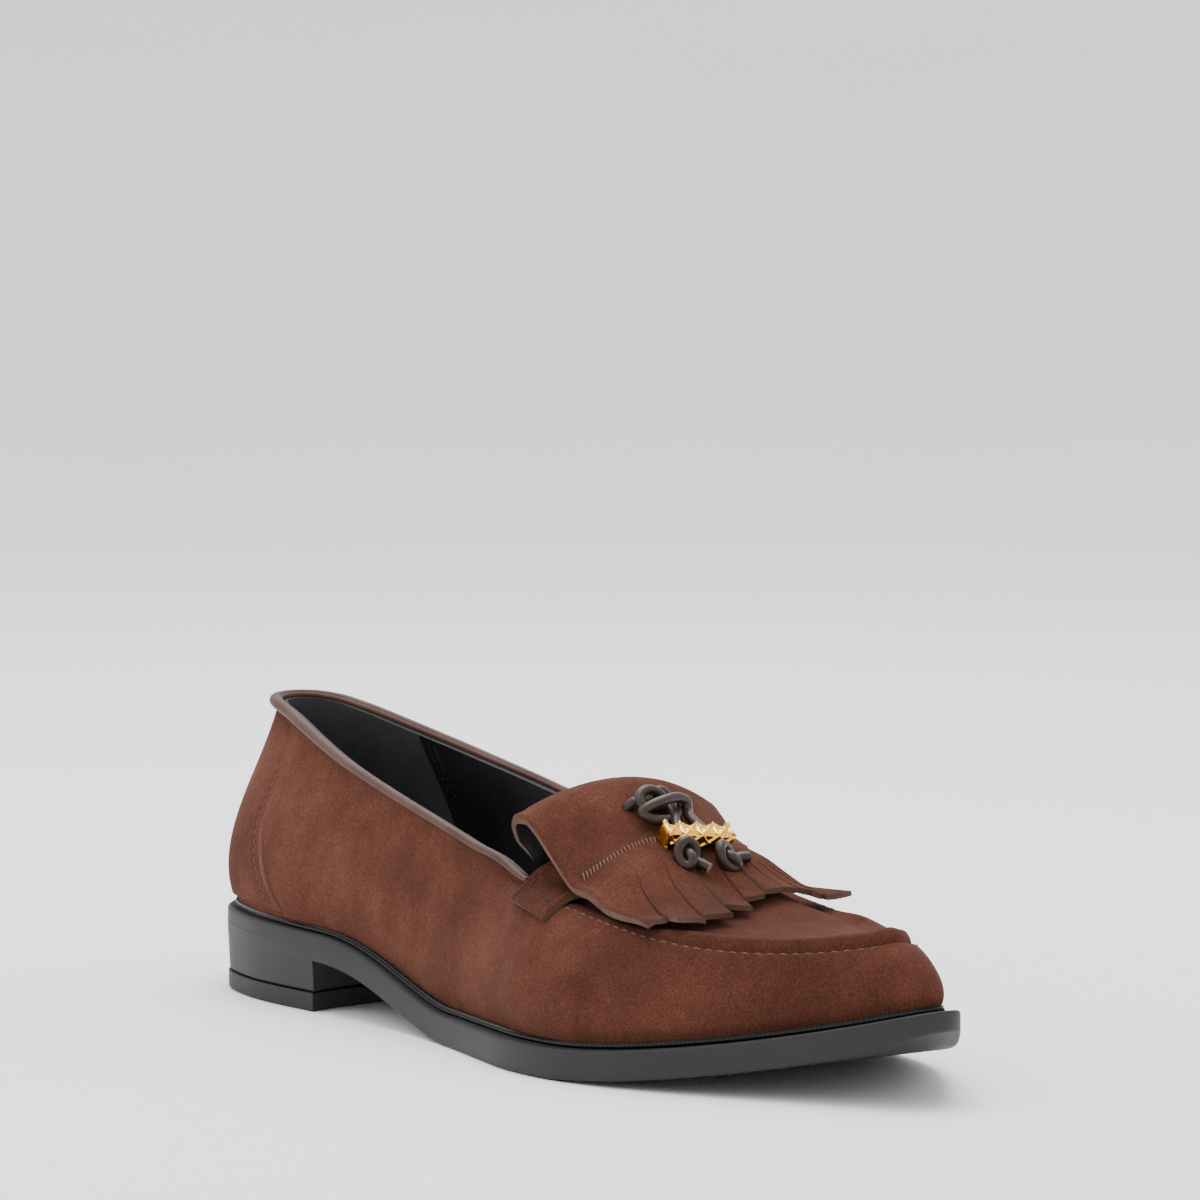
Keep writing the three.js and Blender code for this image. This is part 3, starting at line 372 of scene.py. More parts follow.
WALL_V = np.array([0, 0.14, 0.3, 0.46, 0.62, 0.76, 0.88, 0.96, 1])
SEAM_ROW = len(WALL_V) - 1
TROUGH_ROW = SEAM_ROW + len(RIDGE["across"]) - 1
APRON = np.array([0, 0.3, 0.62, 1])
LAST_ROW = TROUGH_ROW + len(APRON) - 1


def rib(side, foot, row, relief=True):
    """The upper's outside at a place round the outline and a row from 0, at the foot, to LAST_ROW."""
    side, foot, row = np.broadcast_arrays(side, foot, np.asarray(row, float))
    vamp = ease(0.5, 0.6, foot)
    top = table_point(TOP, side, foot, COLLAR_WIDTH)
    top[..., 2] -= (RIM_DROP - RIM_TUCK) * (1 - ease(BINDING_END + 0.006, BINDING_END + 0.04, foot))
    v = np.interp(row, np.arange(len(WALL_V)), WALL_V)
    above = np.clip((row - SEAM_ROW) / (LAST_ROW - SEAM_ROW), 0, 1)
    collar = wall_point(side, foot, top, mix(v * WALL_SHARE, 1, above), collar_lean)
    seam = table_point(SEAM, side, foot, APRON_WIDTH)
    lower = wall_point(side, foot, seam, v, shoulder_lean)
    inward = (top - seam) * (1, 1, 0)
    reach = np.linalg.norm(inward, axis=-1)
    inward /= np.maximum(reach, 1e-6)[..., None]
    width = np.minimum(RIDGE_WIDTH, reach * 0.72)
    height = RIDGE_HEIGHT * mix(HIDDEN_RIDGE, 1, ease(0.68, 0.77, foot)) * vamp
    across = np.interp(row - SEAM_ROW, np.arange(len(RIDGE["across"])), RIDGE["across"])
    rolled = column(RIDGE["across"], RIDGE["up"], across)
    plain = RIDGE["up"][-1] * ease(0, 1, across)
    crest = seam + inward * (across * width)[..., None]
    crest[..., 2] += height * (rolled if relief else plain)
    share = np.interp(row - TROUGH_ROW, np.arange(len(APRON)), APRON)
    trough = seam + inward * width[..., None]
    trough[..., 2] += height * RIDGE["up"][-1]
    apron = mix(trough, top, share[..., None])
    apron[..., 2] = mix(trough[..., 2], top[..., 2], 1 - (1 - share) ** 1.5)
    upper = np.where((row <= TROUGH_ROW)[..., None], crest, apron)
    point = np.where((row < SEAM_ROW)[..., None], lower, upper)
    return mix(collar, point, vamp[..., None])


def lining(side, foot, row, depth=WALL):
    """The upper's inside: sideways in the wall, downwards under the apron."""
    side, foot, row = np.broadcast_arrays(side, foot, np.asarray(row, float))
    v = np.interp(row, np.arange(len(WALL_V)), WALL_V)
    over = mix(0.75, 1, np.clip((row - SEAM_ROW) / 4, 0, 1))
    roll = np.where(row < SEAM_ROW, ease(0.35, 1, v) * 0.75, over)
    angle = math.pi / 2 * roll * ease(0.5, 0.6, foot)
    _, _, out_x, out_y = outline_at(side, foot, 0)
    level = -depth * np.cos(angle)
    return rib(side, foot, row, False) + points_of(out_x * level, out_y * level, -depth * np.sin(angle))


def placed(name, data):
    """A new object in the scene that shows this data."""
    made = bpy.data.objects.new(name, data)
    bpy.context.scene.collection.objects.link(made)
    return made


class Shape:
    """A mesh in the making: points in millimetres, and faces with the number of their finish."""

    def __init__(self):
        self.points = []
        self.faces = []
        self.finishes = []
        self.count = 0

    def grid(self, points, finish=0, closed=False, kept=None):
        """Faces over a grid of points, around (closed or not) by up. kept says which faces are made."""
        around, up = points.shape[:2]
        ids = self.count + np.arange(around * up).reshape(around, up)
        self.points.append(points.reshape(-1, 3))
        self.count += around * up
        if closed:
            ids = np.vstack([ids, ids[:1]])
        quads = np.stack([ids[:-1, :-1], ids[1:, :-1], ids[1:, 1:], ids[:-1, 1:]], -1)
        made = np.full(quads.shape[:2], finish) if np.isscalar(finish) else finish
        if kept is not None:
            quads, made = quads[kept], made[kept]
        self.faces += [tuple(q) for q in quads.reshape(-1, 4).tolist()]
        self.finishes += made.reshape(-1).tolist()
        return ids

    def fan(self, ring):
        self.faces.append(tuple(ring))
        self.finishes.append(0)

    def caps(self, ids):
        """Faces over both ends of a closed grid."""
        self.fan(ids[:-1, 0][::-1])
        self.fan(ids[:-1, -1])

    def walls(self, lower, upper, finish=0):
        """Faces between the edges of two grids."""
        for edge in (np.s_[0], np.s_[-1], np.s_[:, 0], np.s_[:, -1]):
            self.grid(np.stack([lower[edge], upper[edge]], 1), finish)

    def tube(self, line, radii, sides=6, lead=(0, 0, 1)):
        """A closed round tube along a line, its rings turned so that lead is up."""
        line = np.asarray(line, float)
        ahead = np.gradient(line, axis=0)
        ahead /= np.maximum(np.linalg.norm(ahead, axis=1, keepdims=True), 1e-9)
        lead = np.broadcast_to(np.asarray(lead, float), line.shape)
        across = np.cross(ahead, lead)
        across /= np.maximum(np.linalg.norm(across, axis=1, keepdims=True), 1e-9)
        up = np.cross(across, ahead)
        angle = np.linspace(0, 2 * math.pi, sides, endpoint=False)
        radii = np.broadcast_to(radii, len(line))
        cos, sin = np.cos(angle)[None, :, None], np.sin(angle)[None, :, None]
        ring = across[:, None] * cos + up[:, None] * sin
        grid = line[:, None] + ring * radii[:, None, None]
        self.caps(self.grid(grid.transpose(1, 0, 2), 0, True))

    def piece(self, name, materials, replaces=None, crease=38):
        """The shape as a welded, smooth Blender object that rides on the body."""
        mesh = bpy.data.meshes.new(name)
        mesh.from_pydata(metres(np.vstack(self.points)).tolist(), [], self.faces)
        mesh.polygons.foreach_set("material_index", self.finishes)
        body = bmesh.new()
        body.from_mesh(mesh)
        bmesh.ops.remove_doubles(body, verts=body.verts, dist=2e-6)
        bmesh.ops.dissolve_degenerate(body, edges=body.edges, dist=1e-7)
        bmesh.ops.recalc_face_normals(body, faces=body.faces)
        body.to_mesh(mesh)
        body.free()
        for material in materials:
            mesh.materials.append(material)
        mesh.shade_smooth()
        mesh.set_sharp_from_angle(angle=math.radians(crease))
        piece = placed(name, mesh)
        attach(piece, "root")
        if replaces:
            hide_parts(replaces)
        return piece


# Camera, where the photograph was taken from
CAMERA_PLACE = (1092.8, -705.7, 176.1)
CAMERA_TILT = 86.2744
CAMERA_TURN = 53.5366
CAMERA_LENS = 160.15


def make_camera():
    data = bpy.data.cameras.new("camera")
    data.lens = CAMERA_LENS
    data.sensor_width = 36
    data.clip_start = 0.05
    camera = placed("camera", data)
    camera.location = metres(CAMERA_PLACE)
    camera.rotation_euler = (math.radians(CAMERA_TILT), 0, math.radians(CAMERA_TURN))
    bpy.context.scene.camera = camera


class Finish:
    """A procedural material, its textures in the object's own frame."""

    def __init__(self, name):
        self.material = bpy.data.materials.new(name)
        self.material.use_nodes = True
        self.nodes = self.material.node_tree.nodes
        self.links = self.material.node_tree.links
        self.shader = self.nodes["Principled BSDF"]
        self.place = self.nodes.new("ShaderNodeTexCoord").outputs["Object"]

    def fill(self, node, inputs):
        """Give a node's inputs plain values or the outputs of other nodes."""
        for name, value in inputs.items():
            if isinstance(value, bpy.types.NodeSocket):
                self.links.new(value, node.inputs[name])
            else:
                node.inputs[name].default_value = value
        return node

    def read(self, kind, inputs, output):
        return self.fill(self.nodes.new(kind), inputs).outputs[output]

    def noise(self, scale, detail=4.0, roughness=0.55, stretch=None):
        """Noise with its scale counted per metre."""
        place = self.place
        if stretch:
            place = self.read("ShaderNodeMapping", {"Vector": place, "Scale": stretch}, "Vector")
        inputs = {"Vector": place, "Scale": scale, "Detail": detail, "Roughness": roughness}
        return self.read("ShaderNodeTexNoise", inputs, "Fac")

    def ramp(self, factor, stops):
        made = self.fill(self.nodes.new("ShaderNodeValToRGB"), {"Fac": factor})
        elements = made.color_ramp.elements
        while len(elements) < len(stops):
            elements.new(0.5)
        for element, (place, colour) in zip(elements, stops):
            element.position = place
            element.color = (*colour, 1)
        return made.outputs["Color"]

    def multiplied(self, share, a, b):
        """Colour a, multiplied by colour b as far as the share says."""
        made = self.nodes.new("ShaderNodeMix")
        made.data_type = "RGBA"
        made.blend_type = "MULTIPLY"
        inputs = {i.name: i for i in made.inputs if i.enabled}
        inputs["Factor"].default_value = share
        self.links.new(a, inputs["A"])
        self.links.new(b, inputs["B"])
        return next(o for o in made.outputs if o.enabled)

    def ended(self, inputs, layers):
        """The material with its shader's inputs and bumps: heights, strengths, depths in millimetres."""
        normal = None
        for height, strength, depth in layers:
            bump = {"Height": height, "Strength": strength, "Distance": depth / 1000}
            if normal is not None:
                bump["Normal"] = normal
            normal = self.read("ShaderNodeBump", bump, "Normal")
        self.fill(self.shader, inputs)
        if normal is not None:
            self.links.new(normal, self.shader.inputs["Normal"])
        return self.material


# Colour the suede is multiplied by at the toe: painted shade, darker towards the toe
SHADE_AT_TOE = (0.74, 0.71, 0.7)


def suede(name, dark, middle, light):
    """Brushed suede: cloudy nap, fine fibre, and painted shade that darkens it towards the toe."""
    made = Finish(name)
    cloud = made.noise(38, 5, 0.62)
    patch = made.noise(150, 5, 0.66, (1, 1, 0.6))
    fibre = made.noise(1900, 3, 0.75)
    colour = made.ramp(cloud, [(0.3, dark), (0.5, middle), (0.72, light)])
    streak = made.ramp(patch, [(0.3, (0.82, 0.8, 0.79)), (0.52, (1, 1, 1)), (0.75, (1.2, 1.2, 1.2))])
    nap = made.ramp(fibre, [(0.34, (0.62, 0.6, 0.6)), (0.66, (1.38, 1.4, 1.42))])
    # Painted shade: the colour darkens from heel to toe along the object's X
    forward = made.read("ShaderNodeSeparateXYZ", {"Vector": made.place}, "X")
    span = {"Value": forward, "From Min": -0.05, "From Max": 0.07}
    length = made.read("ShaderNodeMapRange", span, "Result")
    toe_shade = made.ramp(length, [(0, (1, 1, 1)), (1, SHADE_AT_TOE)])
    for share, layer in ((0.75, streak), (0.85, nap), (1, toe_shade)):
        colour = made.multiplied(share, colour, layer)
    return made.ended({
        "Base Color": colour, "Roughness": 0.95, "Specular IOR Level": 0.05,
        "Sheen Weight": 0.05, "Sheen Roughness": 0.45, "Sheen Tint": (0.9, 0.62, 0.5, 1),
    }, [(patch, 0.25, 0.4), (fibre, 0.7, 0.16)])


def leather(name, colour, worn, roughness, grain=900, depth=0.12, coat=0.0, specular=0.3):
    made = Finish(name)
    cloud = made.noise(70, 4, 0.6)
    cells = made.read("ShaderNodeTexVoronoi", {"Vector": made.place, "Scale": grain}, "Distance")
    fine = made.noise(2 * grain, 3, 0.6)
    rough = {"Value": fine, "To Min": roughness - 0.08, "To Max": roughness + 0.1}
    return made.ended({
        "Base Color": made.ramp(cloud, [(0.35, colour), (0.7, worn)]),
        "Roughness": made.read("ShaderNodeMapRange", rough, "Result"),
        "Specular IOR Level": specular, "Coat Weight": coat, "Coat Roughness": 0.15,
    }, [(cells, 0.5, depth), (fine, 0.35, depth / 2)])


def rubber(name, colour, light, roughness=0.5):
    made = Finish(name)
    cloud = made.noise(45, 4, 0.6)
    speck = made.noise(2600, 2, 0.6)
    rough = {"Value": cloud, "To Min": roughness - 0.1, "To Max": roughness + 0.12}
    return made.ended({
        "Base Color": made.ramp(cloud, [(0.3, colour), (0.75, light)]),
        "Roughness": made.read("ShaderNodeMapRange", rough, "Result"), "Specular IOR Level": 0.22,
    }, [(speck, 0.3, 0.05)])


def gold(name):
    made = Finish(name)
    pit = made.noise(900, 3, 0.6)
    tone = made.ramp(pit, [(0.3, (0.84, 0.44, 0.065)), (0.7, (0.98, 0.63, 0.14))])
    return made.ended({"Base Color": tone, "Metallic": 1, "Roughness": 0.2}, [(pit, 0.35, 0.12)])


def thread(name, colour):
    made = Finish(name)
    twist = made.noise(3000, 2, 0.5)
    darker = tuple(c * 0.7 for c in colour)
    tone = made.ramp(twist, [(0.35, darker), (0.65, colour)])
    return made.ended({"Base Color": tone, "Roughness": 0.75}, [(twist, 0.5, 0.08)])


SUEDE = suede("suede_brown", (0.065, 0.0225, 0.0145), (0.092, 0.033, 0.021), (0.128, 0.049, 0.032))
SUEDE_DARK = suede("suede_stay", (0.062, 0.021, 0.0135), (0.09, 0.031, 0.02), (0.128, 0.047, 0.031))
CUT_EDGE = leather("cut_edge", (0.07, 0.036, 0.025), (0.125, 0.07, 0.05), 0.85, 1400)
STAY_EDGE = leather("stay_edge", (0.085, 0.034, 0.022), (0.135, 0.06, 0.042), 0.85, 1400)
OLIVE_EDGE = leather("olive_edge", (0.045, 0.023, 0.013), (0.08, 0.042, 0.025), 0.85, 1400)
LINING = leather("lining_black", (0.006, 0.006, 0.007), (0.012, 0.012, 0.013), 0.6, 1100, 0.1)
LINING_GREY = leather("lining_grey", (0.05, 0.05, 0.051), (0.07, 0.07, 0.071), 0.65, 1100, 0.08)
INSOLE_BLACK = leather("insole_black", (0.014, 0.014, 0.015), (0.021, 0.021, 0.022), 0.6, 1100, 0.1)
FLAP_LINING = leather("flap_lining", (0.014, 0.014, 0.016), (0.03, 0.03, 0.033), 0.42, 750, 0.3, 0.2)
BINDING = leather("binding_taupe", (0.055, 0.025, 0.0175), (0.09, 0.045, 0.033), 0.5, 1000, 0.1, 0, 0.2)
CORD = leather("cord_leather", (0.02, 0.0105, 0.0075), (0.036, 0.019, 0.0135), 0.34, 1300, 0.04, 0.1)
CORD_END = leather("cord_end", (0.2, 0.11, 0.095), (0.32, 0.2, 0.17), 0.8, 1400)
RUBBER = rubber("sole_rubber", (0.017, 0.0172, 0.0174), (0.023, 0.0232, 0.0235))
RUBBER_TOP = rubber("sole_top_rubber", (0.016, 0.016, 0.017), (0.026, 0.026, 0.028), 0.7)
LIFT_RUBBER = rubber("lift_rubber", (0.015, 0.0152, 0.0155), (0.022, 0.0222, 0.0225), 0.55)
WELT_BLACK = rubber("welt_black", (0.008, 0.008, 0.008), (0.018, 0.017, 0.017), 0.38)
GOLD = gold("bar_gold")
THREAD_TAN = thread("thread_tan", (0.125, 0.051, 0.035))
THREAD_DARK = thread("thread_dark", (0.045, 0.01, 0.008))
THREAD_BROWN = thread("thread_brown", (0.12, 0.04, 0.026))
# Painted shade: a dark colour for the pinholes, standing in for the shade inside them
HOLE_SHADE = thread("pinhole", (0.012, 0.006, 0.005))

# The cord's route over the flap, repeated from the source: across the flap, down its slope, above it
FLAP_TOP = np.array([159.056, 0, 54.016])
FLAP_SLOPE = math.radians(36.453)
FLAP_DOWN = np.array([math.cos(FLAP_SLOPE), 0, -math.sin(FLAP_SLOPE)])
FLAP_ACROSS = np.array([0, 1, 0])
FLAP_ABOVE = np.array([math.sin(FLAP_SLOPE), 0, math.cos(FLAP_SLOPE)])
END_KNOT = [
    (0.5, -3.4, 2.75), (0.1, -1.5, 2.7), (-0.2, 0.9, 3.7), (-0.4, 2.5, 3.2),
    (-1.2, 2.9, 2.1), (-2.2, 1.4, 2),
    (-2.3, -0.6, 3), (-1.2, -2, 4.5), (0.6, -2.1, 4.8), (2.1, -0.8, 3.8), (2, 0.8, 2.3), (1.3, 1.9, 2.4),
    (2, 3.4, 2.8), (2.8, 4.9, 3),
]
TOP_KNOT = [
    (-2.6, 12.2, 2.75), (-1.7, 9.5, 2.75), (-0.2, 6.3, 2.6), (1, 3.4, 2), (1.2, 0.6, 1.9), (0, -1.7, 2.8),
    (-2.9, -2.5, 3.3), (-5.3, -1.4, 2.5), (-5.4, 0.7, 1.8), (-2.2, 1.3, 1.8), (2, 1.2, 1.8), (4.6, 0.9, 1.2),
    (5.1, 0.7, -1.2), (3.2, 0.3, -4), (-1.2, -0.5, -3.9), (-5.6, -1, -4), (-7.6, -1.1, -1.2),
    (-6.6, -1, 1.2), (-3.6, -0.9, 1.8), (-0.6, -2.7, 2), (1.9, -2.8, 2.3), (3, -0.4, 1.8), (2.9, 2.8, 1.8),
    (1.2, 5.3, 1.8), (-2, 6, 1.8), (-5.7, 5, 1.7), (-7.3, 3.6, 2.3), (-5.4, 3.1, 3.7), (-1.6, 2.7, 4.8),
    (2.2, 2.1, 4.7), (4.9, 2.4, 3.6), (5, 3.8, 2.2), (4.1, 6.2, 2.4), (4.6, 10.2, 2.75), (5.3, 13, 2.75),
]
NEAR_KNOT = {"across": -4, "down": 18.2, "turn": 0}
FAR_KNOT = {"across": 5.6, "down": 19.9, "turn": -0.9}
BAR = {"across": 1.6, "down": 12.75, "above": 2.9, "turn": 0.14}


def on_flap(across, down, above):
    a, b, c = (np.asarray(v, float)[..., None] for v in (across, down, above))
    return FLAP_TOP + a * FLAP_ACROSS + b * FLAP_DOWN + c * FLAP_ABOVE


def end_knot(across, down, turn):
    points = []
    for i, (a, b, c) in enumerate(END_KNOT):
        share = turn * min(1, i / 4)
        sin, cos = math.sin(share), math.cos(share)
        points.append((across + a * cos - b * sin, down + a * sin + b * cos, c))
    return points


def make_cord():
    """The cord as one spline, from the tail of the near knot to the tail of the far one."""
    route = end_knot(**NEAR_KNOT)[::-1] + TOP_KNOT + end_knot(**FAR_KNOT)
    line = metres(centripetal([on_flap(*p) for p in route], False, 8))
    data = bpy.data.curves.new("tassel_cord_round", "CURVE")
    data.dimensions = "3D"
    data.bevel_depth = CORD_DIAMETER / 2000
    data.bevel_resolution = 5
    data.use_fill_caps = True
    spline = data.splines.new("POLY")
    spline.points.add(len(line) - 1)
    spline.points.foreach_set("co", np.column_stack([line, np.ones(len(line))]).ravel())
    spline.use_smooth = True
    data.materials.append(CORD)
    piece = placed("tassel_cord_round", data)
    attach(piece, "root")
    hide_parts("tassel_cord")
    ends = Shape()
    for place, behind in ((line[0], line[1]), (line[-1], line[-2])):
        ahead = (place - behind) / np.linalg.norm(place - behind)
        start = place * 1000 + TO_MIDDLE
        reach = np.array([-0.3, 0.02, 0.1, 0.14])
        radii = np.array([1.02, 1.02, 0.9, 0.5]) * CORD_DIAMETER / 2.1
        ends.tube(start + ahead * reach[:, None], radii, 14)
    cut_ends = ends.piece("cord_cut_ends", [CORD_END])
    length = float(np.linalg.norm(np.diff(line, axis=0), axis=1).sum())
    return piece, cut_ends, line[0], length


def make_bar():
    """The cast bar: a soft square section with end rims and a plain crossed relief."""
    along = np.linspace(0, 1, 150)
    angle = np.linspace(0, 2 * math.pi, 72, endpoint=False)
    t, q = np.meshgrid(along, angle, indexing="ij")
    square = 1 / (np.abs(np.cos(q)) ** 5 + np.abs(np.sin(q)) ** 5) ** 0.2
    face = (q * 2 / math.pi + 0.5) % 1 - 0.5
    cell = (t * 4) % 1 - 0.5
    crossing = bell(np.abs(face), np.abs(cell), 0.085)
    boss = bell(face, 0, 0.14) * bell(cell, 0, 0.16)
    rim = bell(t, 0.03, 0.022) + bell(t, 0.97, 0.022)
    divide = bell(np.abs(cell), 0.5, 0.06)
    relief = 0.24 * crossing + 0.16 * boss + 0.2 * rim + 0.14 * divide
    radius = BAR_DIAMETER / 2 * square * (0.84 + relief)
    ends = np.clip(np.minimum(t, 1 - t) / 0.012, 0, 1) ** 0.5
    radius = radius * mix(0.86, 1, ends)
    a = (t - 0.5) * BAR_LENGTH
    b, c = radius * np.cos(q), radius * np.sin(q)
    sin, cos = math.sin(BAR["turn"]), math.cos(BAR["turn"])
    across = BAR["across"] + a * cos - b * sin
    points = on_flap(across, BAR["down"] + a * sin + b * cos, BAR["above"] + c)
    shape = Shape()
    shape.caps(shape.grid(points.transpose(1, 0, 2), 0, True))
    return shape.piece("metal_bar_cast", [GOLD], "metal_bar", 60)


def both_sides(feet):
    """Places round the whole outline: up the lateral side and back down the medial one."""
    side = np.concatenate([-np.ones(len(feet)), np.ones(len(feet) - 2)])
    return side[:, None], np.concatenate([feet, feet[1:-1][::-1]])[:, None]


def make_upper():
    share = np.linspace(0, 1, 201)
    feet = share + 0.012 * np.sin(2 * math.pi * share)
    feet[np.abs(feet - THROAT_FOOT).argmin()] = THROAT_FOOT
    side, foot = both_sides(feet)
    rows = np.concatenate([
        np.linspace(0, SEAM_ROW, 34),
        np.linspace(SEAM_ROW, TROUGH_ROW, 24)[1:],
        np.linspace(TROUGH_ROW, LAST_ROW, 14)[1:],
    ])
    inner_rows = np.linspace(0, LAST_ROW, 34)

    def foot_of(inset):
        x, y, _, _ = outline_at(side, foot, inset)
        return points_of(x, y, sole_top(x) + PIECE_GAP)

    shape = Shape()
    outside = np.hstack([foot_of(margin(foot)), rib(side, foot, rows)])
    inside = np.hstack([foot_of(margin(foot) + WALL), lining(side, foot, inner_rows)])
    shape.grid(outside, 0, True)
    finish = np.where(foot < LINING_SEAM_FOOT, 2, 1) * np.ones((1, inside.shape[1] - 1), int)
    shape.grid(inside, finish, True)
    shape.grid(np.stack([outside[:, 0], inside[:, 0]], 1), 1, True)
    open_here = (foot[:, 0] <= THROAT_FOOT) & (np.roll(foot[:, 0], -1) <= THROAT_FOOT)
    shape.grid(np.stack([outside[:, -1], inside[:, -1]], 1), 1, True, open_here[:, None])
    shape.piece("upper_suede", [SUEDE, LINING, LINING_GREY], "upper", 50)


LINING_SEAM_FOOT = 0.209


def make_lining_seam():
    """The lining's seam inside the quarters: a lapped edge with two staggered rows of pinholes."""
    lap, holes = Shape(), Shape()
    rows = np.linspace(0.6, LAST_ROW - 1.5, 40)
    for side in (-1, 1):
        width = np.linspace(0, 0.03, 7)
        height = np.array([0, 0.22, 0.32, 0.34, 0.34, 0.3, 0])
        feet = LINING_SEAM_FOOT - 0.003 + width
        lap.grid(lining(side, feet[:, None], rows[None, :], WALL + height[:, None]))
        for shift, start in ((0.009, 0), (0.018, 0.5)):
            for row in np.arange(1.2 + 0.6 * start, LAST_ROW - 2, 0.6):
                place = lining(side, LINING_SEAM_FOOT + shift, row, WALL + 0.3)
                deeper = lining(side, LINING_SEAM_FOOT + shift, row, WALL + 0.42)
                # Each pinhole is a short dark plug: painted shade where a hole would be
                holes.tube([place, deeper], [0.42, 0.3], 8)
    lap.piece("lining_lap", [LINING])
    holes.piece("lining_pinholes", [HOLE_SHADE])


def make_sole():
    """The sole plate with its rounded edges, and the heel block under its back."""
    feet = crowded(181)
    turn = np.linspace(0, math.pi / 2, 5)
    shape = Shape()
    rings = []
    for side in (-1, 1):
        x, _, _, _ = outline_at(side, feet[:, None], 0)
        low_round = np.where(x < HEEL_LENGTH - 2, 0.05, 0.7)
        inset_low = low_round * (1 - np.sin(turn))[None, :]
        inset_high = 0.75 * (1 - np.cos(turn))[None, :]
        inset = np.hstack([inset_low, np.broadcast_to(inset_high, (len(feet), len(turn)))])
        px, py, _, _ = outline_at(side, feet[:, None], inset)
        low = underside(px[:, :5]) + low_round * (1 - np.cos(turn))[None, :]
        high = sole_top(px[:, 5:]) - 0.75 * (1 - np.sin(turn))[None, :]
        rings.append(points_of(px, py, np.hstack([low, high])))
    ring = np.hstack([rings[0], rings[1][:, ::-1]])
    bands = ring.shape[1]
    finish = np.zeros((bands, len(feet) - 1), int)
    finish[9] = 1
    shape.caps(shape.grid(ring.transpose(1, 0, 2), finish, True))
    low, high = lambda x: 0 * x + TOP_LIFT + PIECE_GAP, lambda x: underside(x) + SOLE_THICKNESS / 2
    heel_slab(shape, low, high, 0.55, 0.03)
    shape.piece("outsole_rubber", [RUBBER, RUBBER_TOP], "outsole", 32)


def heel_slab(shape, low, high, inset_low, inset_high):
    """A slice of the heel: the outline at its back, a hollow breast at its front, rounded lower edges."""
    breast_foot = 0.275
    share = np.linspace(0, 1, 60)
    feet = breast_foot * mix(share, share**2, 0.4)
    across = np.linspace(0, 1, 25)
    breast_x = float(outline_at(-1, breast_foot, 0)[0])

    def level(inset, height, pull=0.0):
        p = between_edges(feet, inset, across)
        hollow = BREAST_HOLLOW * (1 - (2 * across[None, :] - 1) ** 2)
        limit = (HEEL_LENGTH - hollow - pull) / breast_x
        x = p[..., 0] * mix(1, limit, ease(0, 1, feet[:, None] / breast_foot))
        return points_of(x, p[..., 1], height(p[..., 0]))

    bottom = level(inset_low + 0.35, low, 0.35)
    knee = level(inset_low, lambda x: low(x) + 0.35)
    shoulder = level(inset_high, lambda x: high(x) - 0.2)
    top = level(inset_high + 0.2, high, 0.2)
    shape.grid(bottom)
    shape.grid(top)
    for lower, upper in ((bottom, knee), (knee, shoulder), (shoulder, top)):
        shape.walls(lower, upper)


def make_top_lift():
    shape = Shape()
    heel_slab(shape, lambda x: 0 * x, lambda x: 0 * x + TOP_LIFT, 0.3, 0.25)
    shape.piece("top_lift_rubber", [LIFT_RUBBER], "top_lift", 32)


def make_welt():
    """The ribbed strip between the upper and the sole, like a fine braid."""
    side, foot = both_sides(np.linspace(0, 1, 1240))
    shown = ease(0.16, 0.3, foot) * (1 - ease(0.5, 0.7, foot))
    place = np.arange(len(foot))[:, None]
    bead = np.abs(np.sin(place * math.pi / 5))
    other = np.abs(np.cos(place * math.pi / 5))
    inner = margin(foot) - PIECE_GAP
    outer = margin(foot) * (1 - 0.12 - 0.35 * shown)
    section = []
    for inset, height in (
        (inner, 0),
        (outer + 0.15, 0),
        (outer - 0.25 * bead, 0.3),
        (outer + 0.2 - 0.25 * bead, 0.66),
        (outer + 0.4, 0.5 + 0.25 * bead),
        (mix(outer, inner, 0.45), 0.85 + 0.35 * other),
        (inner, 1.1),
    ):
        x, y, _, _ = outline_at(side, foot, inset)
        section.append(points_of(x, y, sole_top(x) + PIECE_GAP + height)[:, 0])
    shape = Shape()
    shape.grid(np.stack(section + section[:1], 1), 0, True)
    shape.piece("welt_ribbed", [WELT_BLACK], "welt", 30)


def make_insole():
    feet = crowded(101)
    c = np.linspace(0, 1, 17)
    p = between_edges(feet, margin(feet) + WALL + 2 * PIECE_GAP, c)
    crown = 0.5 * (1 - (2 * c - 1) ** 8)[None, :]
    shape = Shape()
    base = sole_top(p[..., 0]) + PIECE_GAP
    low = points_of(p[..., 0], p[..., 1], base)
    high = points_of(p[..., 0], p[..., 1], base + INSOLE_THICKNESS - 0.5 + crown)
    shape.grid(high)
    shape.grid(low)
    shape.walls(low, high)
    shape.piece("insole_leather", [INSOLE_BLACK], "insole", 40)


def slab(shape, outer, inner, finish=0):
    """A sheet between two grids of points, closed along its edges."""
    shape.grid(outer, finish)
    shape.grid(inner)
    shape.walls(outer, inner, 1)


def stay_point(c, v, offset):
    side = np.where(c < 0, -1.0, 1.0)
    foot = np.abs(c) * column(STAY["up"], STAY["foot"], v)
    top = table_point(TOP, side, foot, COLLAR_WIDTH)
    top[..., 2] -= RIM_DROP
    _, _, out_x, out_y = outline_at(side, foot, 0)
    return wall_point(side, foot, top, v, collar_lean) + points_of(out_x * offset, out_y * offset, 0)


